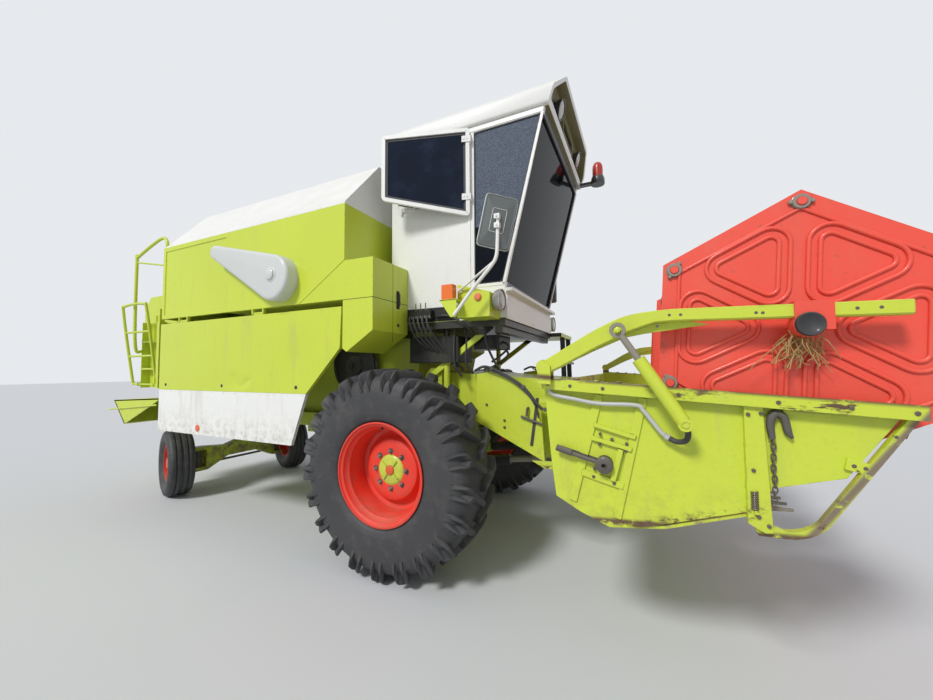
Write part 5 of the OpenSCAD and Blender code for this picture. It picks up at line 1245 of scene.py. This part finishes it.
pipe = tube(curve([(1228, OUT + 26, 1330), (1243, OUT + 26, 1272), (1350, OUT + 26, 1248), (1453, OUT + 26, 1232),
                   (1600, OUT + 26, 1230), (1632, OUT + 28, 1205), (1690, OUT + 32, 1127), (1716, OUT + 34, 1104)],
                  90), 9.5, 10, (0, 1, 0.01))
solid("reel_pipe", both_hands(pipe), zinc, "header", 60)
hose = tube(curve([(1716, OUT + 34, 1104), (1748, OUT + 42, 1090), (1778, OUT + 66, 1100), (1786, OUT + 84, 1132),
                   (1774, OUT + 92, 1158)], 60), 11, 10, (0, 1, 0.01))
nuts = joined(tube([(1706, OUT + 33, 1110), (1722, OUT + 35, 1101)], 14, 6, (0, 1, 0)),
              tube([(1775, OUT + 92, 1152), (1765, OUT + 92, 1176)], 14, 6, (0, 1, 0)))
solid("reel_hose", both_hands(hose), black_hose, "header", 60)
solid("hose_nuts", both_hands(nuts), zinc, "header", 30)
face_bolts = [(1500, 1075), (1452, 1095), (1560, 1060), (1448, 1050), (1556, 1032), (1420, 905), (1505, 885),
              (1540, 1020), (1508, 915), (1425, 940), (1990, 1210), (2030, 1215), (2000, 1000), (2010, 830),
              (2040, 800), (2290, 1042), (2320, 1036), (2400, 1150)]
heads = bolts([(x, OUT + (28 if 1978 < x < 2053 else 8), z) for x, z in face_bolts], (0, 1, 0), 15, 9)
rail_bolts = bolts([(x, 1505, 1318 - (x - 1190) * 0.0665) for x in (1230, 1330, 1470, 1760, 2080, 2280, 2440)],
                   (0, 1, 0), 16, 5)
solid("side_bolts", both_hands(joined(heads, rail_bolts)), forged, "header", 30)
lever = joined(tube([(1292, OUT + 34, 1014), (1468, OUT + 34, 967)], 9, 8, (0, 1, 0)),
               tube([(1262, OUT + 34, 1026), (1330, OUT + 34, 1006)], 15, 10, (0, 1, 0)),
               lathe([[10, 0], [33, 0], [36, 4], [36, 22], [31, 26], [14, 26], [13, 30], [10, 30]], 36,
                     (1468, OUT + 28, 967)))
solid("divider_lever", both_hands(lever), forged, "header", 40)
hook_line = curve([(2064, OUT + 16, 1120), (2060, OUT + 16, 1184), (2078, OUT + 16, 1216), (2102, OUT + 16, 1200),
                   (2112, OUT + 16, 1150), (2124, OUT + 16, 1126)], 48)
hook = tube(hook_line, np.interp(np.linspace(0, 1, 48), [0, 0.25, 0.8, 1], [11, 15, 13, 6]), 10, (0, 1, 0))
links = []
t = np.linspace(0, 2 * np.pi, 16, endpoint=False)
for k in range(12):
    middle = np.array([2066 + 1.5 * math.sin(k), OUT + 14, 1112 - k * 20.0])
    wide, tall = 7.5 * np.cos(t), 14 * np.sin(t)
    ring = np.stack([wide, 0 * t, tall] if k % 2 else [0 * t, wide, tall], -1)
    links.append(hoop(ring + middle, 2.8, 6, (0, 1, 0.02) if k % 2 else (1, 0, 0.02)))
turns = np.linspace(0, 9 * 2 * np.pi, 220)
coil = tube(np.stack([2000 + 11 * np.cos(turns), OUT + 26 + 11 * np.sin(turns), 922 - 70 * np.linspace(0, 1, 220)],
                     -1), 2.6, 6)
solid("divider_hook", both_hands(joined(hook, *links, coil)), forged, "header", 50)

# Knife. Ledger plates and pointed guards of forged steel along the front of the table, worn bright.
guard_y = np.arange(-18, 19) * 76.2
guards = []
turn = np.arange(8) * np.pi / 4 + np.pi / 8
profile = np.array([[2030, 13, 12], [2052, 13, 12], [2075, 11, 11], [2100, 8, 9], [2125, 5, 6], [2143, 1.5, 2]])
for y in guard_y:
    rows = np.stack([0 * turn + profile[:, :1], y + profile[:, 1:2] * np.cos(turn),
                     834 + profile[:, 2:] * np.sin(turn)], -1)
    guards.append(grid(rows, around=True, caps=True))
    guards.append(box((2040, y - 34, 838), (2084, y + 34, 842)))
solid("knife_guards", joined(*guards), worn_steel, "header", 40)

# Table auger. A rolled tube with a flight of rolled strip welded on from each end, and fingers of round
# bar between them that draw the crop in.
AUGER_X, AUGER_Z = 1530, 965
flights = [lathe([[0.5, -1442], [30, -1442], [30, -1436], [139, -1430], [140, -1424], [140, 1424], [139, 1430],
                  [30, 1436], [30, 1442], [0.5, 1442]], 64, (AUGER_X, 0, AUGER_Z))]
run = np.linspace(0, 1, 150)[:, None]
phi = 2 * np.pi * 2.376 * run
radius, aside = np.array([[137, 226, 226, 137]]), np.array([[-4, -2, 2, 4]])
for hand in (-1, 1):
    spots = np.stack([AUGER_X + radius * np.cos(phi), hand * (430 + 998 * run + aside),
                      AUGER_Z + radius * np.sin(phi)], -1)
    flights.append(grid(spots, around=True, caps=True))
fingers = []
for i in range(-5, 6):
    way = np.array([math.cos(math.radians(105 * i)), 0, math.sin(math.radians(105 * i))])
    fingers.append(tube([np.array([AUGER_X, 72.0 * i, AUGER_Z]) + way * r for r in (120, 236, 243)],
                        [7, 7, 4], 10, (0, 1, 0)))
auger_piece = solid("auger_and_flights", joined(*flights, *fingers), trough_green, "table_auger", 35)
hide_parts("table_auger")

# Reel arms. Box-section beams bent in one sweep from the pivot to the level run that carries the
# collar, with a doubling plate under the bend.
def beam(path, half_width, height, middle_y):
    """Rectangular section along a line in X and Z, hanging below it by its height."""
    path = np.asarray(path, float)
    ahead = np.gradient(path, axis=0)
    ahead /= np.linalg.norm(ahead, axis=1, keepdims=True)
    down = np.stack([ahead[:, 1], -ahead[:, 0]], -1)
    height = np.broadcast_to(height, len(path))[:, None]
    r = 5.0
    section = [(-half_width, r, 0), (-half_width + r, 0, 0), (half_width - r, 0, 0), (half_width, r, 0),
               (half_width, -r, 1), (half_width - r, 0, 1), (-half_width + r, 0, 1), (-half_width, -r, 1)]
    rows = [np.concatenate([path[:, :1] + down[:, :1] * (off + height * far), np.full((len(path), 1), middle_y + side),
                            path[:, 1:] + down[:, 1:] * (off + height * far)], 1) for side, off, far in section]
    return grid(np.stack(rows, 1), around=True, caps=True)


arm_line = np.concatenate([curve([(1196, 1412), (1300, 1472), (1420, 1543), (1520, 1592), (1580, 1612),
                                  (1650, 1622), (1740, 1627)], 60), [(1800, 1626), (2130, 1617.2), (2440, 1609)]])
arm_tall = np.interp(arm_line[:, 0], [1196, 1260, 1500, 1600, 1680, 2440], [58, 64, 76, 66, 50, 50])
plate_loop = np.array([(1346, 1422), (1430, 1462), (1566, 1520), (1640, 1533), (1760, 1547), (1878, 1561),
                       (1742, 1590), (1600, 1560), (1500, 1532), (1420, 1500)], float)
doubler = grid(np.stack([np.stack([plate_loop[:, 0], np.full(10, y), plate_loop[:, 1]], -1) for y in (1485, 1493)]),
               around=True, caps=True)
boss = lathe([[16, -26], [34, -26], [34, 26], [16, 26]], 40, (1215, 1506, 1395))
arms = both_hands(joined(beam(arm_line, 25, arm_tall, 1506), doubler, boss,
                         tube([(1541, 1530, 1545), (1541, 1597, 1545)], 12, 16, (1, 0, 0)),
                         bolts([(1541, 1597, 1545)], (0, 1, 0), 26, 8, 6)))
rusty_top = patches(lambda f: f.facing_up(0.6, 0.9), 0.5, 0.6, 9.0, 6.6, (0.6, 1, 1))
arm_green = enamel("arm_green", GREEN, [(RUSTY, rusty_top)], rough=0.36, dust=0.2, chips=0.7, seed=30.0)
arm_piece = solid("arm_beams", arms, arm_green, "reel_arms", 40)
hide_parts("reel_arms")
holes = bolts([(x, 1530.2, z) for x, z in ((1735, 1602), (1775, 1601), (2020, 1592), (2040, 1590), (2300, 1588),
                                           (2360, 1587), (1690, 1560))], (0, 1, 0), 13, 1, 10)
solid("arm_screws", both_hands(holes), forged, "reel_arms", 30)

# Reel. Pressed end plates with beads along their border and round six pockets, riveted to a tube;
# flanged bearings carry the tine bars. Sprayed red, scratched where straw wraps round it.
REEL = (2170.0, 1540.0)
HEX_TURN = -3.6
BARS = 6
BAR_RADIUS = 485
scratched = patches(lambda f: f.from_axle(*REEL), 0.62, 0.66, 20.0, 3.9)
reel_red = enamel("reel_red", rgb(235, 80, 60), [(rgb(120, 86, 70), scratched)],
                  rough=0.38, dust=0.2, chips=0.35, waves=0.003, seed=19.0)
wear(reel_red, "reel_frame", "reel_slides")
wear(dark_iron, "control_ring")


def at_bar(index, radius, aside=0.0):
    """X and Z of the point that far out along a tine bar's direction and that far aside."""
    a = math.radians(90 + HEX_TURN + index * 360 / BARS)
    out = np.array([math.cos(a), math.sin(a)])
    beside = np.array([-math.sin(a), math.cos(a)])
    return np.array(REEL) + radius * out + aside * beside


def pocket_loop(index, inset):
    """Rounded triangle of a pocket, drawn in by inset."""
    k, i = np.divmod(np.arange(27), 9)
    corner, round_at = np.radians(180 + k * 120), np.radians(180 + k * 120 + (i - 4) * 15)
    x = 280 + 100 * np.cos(corner) + (55 - inset) * np.cos(round_at)
    y = 100 * np.sin(corner) + (55 - inset) * np.sin(round_at)
    a = math.radians(90 + HEX_TURN + 30 + index * 360 / BARS)
    return np.stack([REEL[0] + x * math.cos(a) - y * math.sin(a), REEL[1] + x * math.sin(a) + y * math.cos(a)], -1)


def bead(loop, y, radius, high):
    """A half-round bead along a loop of X and Z, standing towards minus Y on a face at y."""
    ahead = np.roll(loop, -1, 0) - np.roll(loop, 1, 0)
    ahead /= np.linalg.norm(ahead, axis=1, keepdims=True)
    beside = np.stack([-ahead[:, 1], ahead[:, 0]], -1)
    turn = np.linspace(0, np.pi, 8)
    across = np.concatenate([np.cos(turn), [-1, 1]]) * radius
    rise = np.concatenate([np.sin(turn) * high, [-1, -1]])
    spots = loop[:, None] + beside[:, None] * across[None, :, None]
    level = np.broadcast_to(y - rise, spots.shape[:2])
    return grid(np.stack([spots[..., 0], level, spots[..., 1]], -1), around=True, along=True)


def hexagon(radius, steps=16):
    """Points along a six-sided loop whose corners look at the tine bars."""
    corners = np.array([at_bar(i, radius) for i in range(BARS)])
    t = np.linspace(0, 1, steps, endpoint=False)[None, :, None]
    return (corners[:, None] * (1 - t) + np.roll(corners, -1, 0)[:, None] * t).reshape(-1, 2)


pressed, bearings = [], []
for face in (-1417.0, 1403.0):
    for index in range(BARS):
        pressed += [bead(pocket_loop(index, -8), face, 8, 8), bead(pocket_loop(index, 27), face, 8, 7)]
        x, z = at_bar(index, BAR_RADIUS)
        bearings.append(lathe([[17.6, -12], [27, -12], [29, -9], [29, 2], [34, 4], [17.6, 4]], 36, (x, face, z)))
        spots = [at_bar(index, BAR_RADIUS, side) for side in (-33, 33)]
        bearings.append(bolts([(px, face - 2, pz) for px, pz in spots], (0, -1, 0), 17, 9))
    pressed.append(bead(hexagon(462), face, 7, 6))
solid("pressed_beads", joined(*pressed), reel_red, "reel", 50)
solid("bar_bearings", joined(*bearings), worn_steel, "reel", 30)
cap = lathe([[1, -6], [22, -6], [30, -12], [40, -14], [43, -10], [43, 2], [1, 2]], 40, (REEL[0], -1540, REEL[1]))
solid("collar_caps", both_hands(cap), dull_black, "reel", 40)

# Tine bars. Steel tubes through the plates, each with seventeen spring tines wound round it; a crank
# at the left keeps them upright.
half_turns = np.linspace(-0.5 * np.pi, 4.5 * np.pi, 46)
wound = np.stack([21 * np.cos(half_turns), np.linspace(-14, 10, 46), 21 * np.sin(half_turns)], -1)[::-1]
drop = curve([(21, 10, 0), (20, 11, -24), (12, 12, -80), (6, 12, -130), (-8, 12, -170)], 14)
leg = np.concatenate([wound[wound[:, 1] < 9.5][::-1], drop[1:]])
tine = tube(leg, 3.6, 6, (0.03, 1, 0.02))
tine_steel = enamel("tine_steel", rgb(150, 70, 52), rough=0.4, dust=0.25, chips=1.0, seed=31.0)
tine_y = np.arange(-8, 9) * 150.0 + 40
for index in range(BARS):
    x, z = at_bar(index, BAR_RADIUS)
    parts = [tube([(x, -1434, z), (x, -1430, z), (x, 1426, z), (x, 1430, z)], [15, 17, 17, 15], 20, (1, 0, 0.01))]
    parts += [box((x - 84, 1420, z - 14), (x + 8, 1430, z + 14)),
              tube([(x - 70, 1429, z), (x - 70, 1444, z)], 8, 16, (1, 0, 0))]
    body = "tine_bar_%d" % (index + 1)
    bar = solid("bar_tube_%d" % (index + 1), joined(*parts), reel_red, body, 30)
    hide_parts(body)
    sprung = joined(*[(tine[0] + [x, y, z], tine[1]) for y in tine_y])
    solid("tines_%d" % (index + 1), sprung, tine_steel, body, 60)

# Straw. Dry stalks wound round the reel's shaft beside the right collar.
dice = np.random.default_rng(7)
straw_gold = Finish("dry_straw")
straw_gold.set(Base_Color=straw_gold.mix(straw_gold.noise(40.0), rgb(196, 166, 104), rgb(140, 108, 66)), Roughness=0.7,
               Normal=straw_gold.bump(straw_gold.noise(300.0), 0.0005, 0.5))
stalks = []
for k in range(70):
    start = np.array([REEL[0] + dice.normal(0, 30), -1440 - dice.uniform(0, 55), REEL[1] - 30 + dice.normal(0, 14)])
    way = np.array([dice.normal(0, 0.55), dice.normal(0, 0.25), -1.0]) * dice.uniform(50, 130)
    middle = start + way * 0.5 + dice.normal(0, 14, 3)
    stalks.append(tube(curve([start, middle, start + way], 5), 1.7, 5, (0.3, 0.9, 0.1)))
solid("wound_straw", joined(*stalks), straw_gold.material, "reel_slides", 60)

# Photo studio. The camera stands where the photograph's did, low beside the right front wheel, with
# its wide lens; a pale floor, a soft key from above the machine's right side and an even fill.
scene = bpy.context.scene
scene.view_settings.view_transform = "Standard"
view = bpy.data.cameras.new("view")
SENSOR, PHOTO_WIDTH, FOCAL_PIXELS = 36.0, 933.0, 375.0
view.sensor_width = SENSOR
view.lens = FOCAL_PIXELS / PHOTO_WIDTH * SENSOR
view.clip_start = 0.05
view.clip_end = 200.0
camera = bpy.data.objects.new("camera", view)
scene.collection.objects.link(camera)
CAMERA_SPOT = (1640, -3250, 1390)
YAW, PITCH, ROLL = (math.radians(a) for a in (25.4, 2.85, -0.35))
ahead = np.array([-math.sin(YAW) * math.cos(PITCH), math.cos(YAW) * math.cos(PITCH), math.sin(PITCH)])
level = np.array([math.cos(YAW), math.sin(YAW), 0.0])
above = np.cross(level, ahead)
right = level * math.cos(ROLL) + above * math.sin(ROLL)
upward = -level * math.sin(ROLL) + above * math.cos(ROLL)
pose = Matrix.Identity(4)
for column, axis in enumerate((right, upward, -ahead, at(*CAMERA_SPOT))):
    for row in range(3):
        pose[row][column] = float(axis[row])
camera.matrix_world = pose
scene.camera = camera

key = bpy.data.lights.new("key", "SUN")
key.energy = 2.3
key.angle = math.radians(12)
key_light = bpy.data.objects.new("key", key)
key_light.rotation_euler = Vector((0.28, 1.0, -0.95)).to_track_quat("-Z", "Y").to_euler()
scene.collection.objects.link(key_light)

world = bpy.data.worlds.new("studio")
scene.world = world
world.use_nodes = True
sky = world.node_tree
backing = sky.nodes["Background"]
backing.inputs["Strength"].default_value = 1.0
rays = sky.nodes.new("ShaderNodeLightPath")
seen = rays.outputs["Is Camera Ray"]
for kind in ("Is Glossy Ray", "Is Transmission Ray"):
    either = sky.nodes.new("ShaderNodeMath")
    either.operation = "MAXIMUM"
    sky.links.new(seen, either.inputs[0])
    sky.links.new(rays.outputs[kind], either.inputs[1])
    seen = either.outputs[0]
tone = sky.nodes.new("ShaderNodeMix")
tone.data_type = "RGBA"
sky.links.new(seen, tone.inputs[0])
tone.inputs[6].default_value = (0.46, 0.47, 0.5, 1)
tone.inputs[7].default_value = (0.80, 0.82, 0.85, 1)
sky.links.new(tone.outputs[2], backing.inputs["Color"])

ground = bpy.data.meshes.new("floor")
ground.from_pydata([(-60, -60, -0.001), (60, -60, -0.001), (60, 60, -0.001), (-60, 60, -0.001)], [], [(0, 1, 2, 3)])
floor = bpy.data.objects.new("floor", ground)
scene.collection.objects.link(floor)
paving = Finish("pale_floor")
ground.materials.append(paving.set(Base_Color=(0.62, 0.63, 0.64, 1), Roughness=0.9))
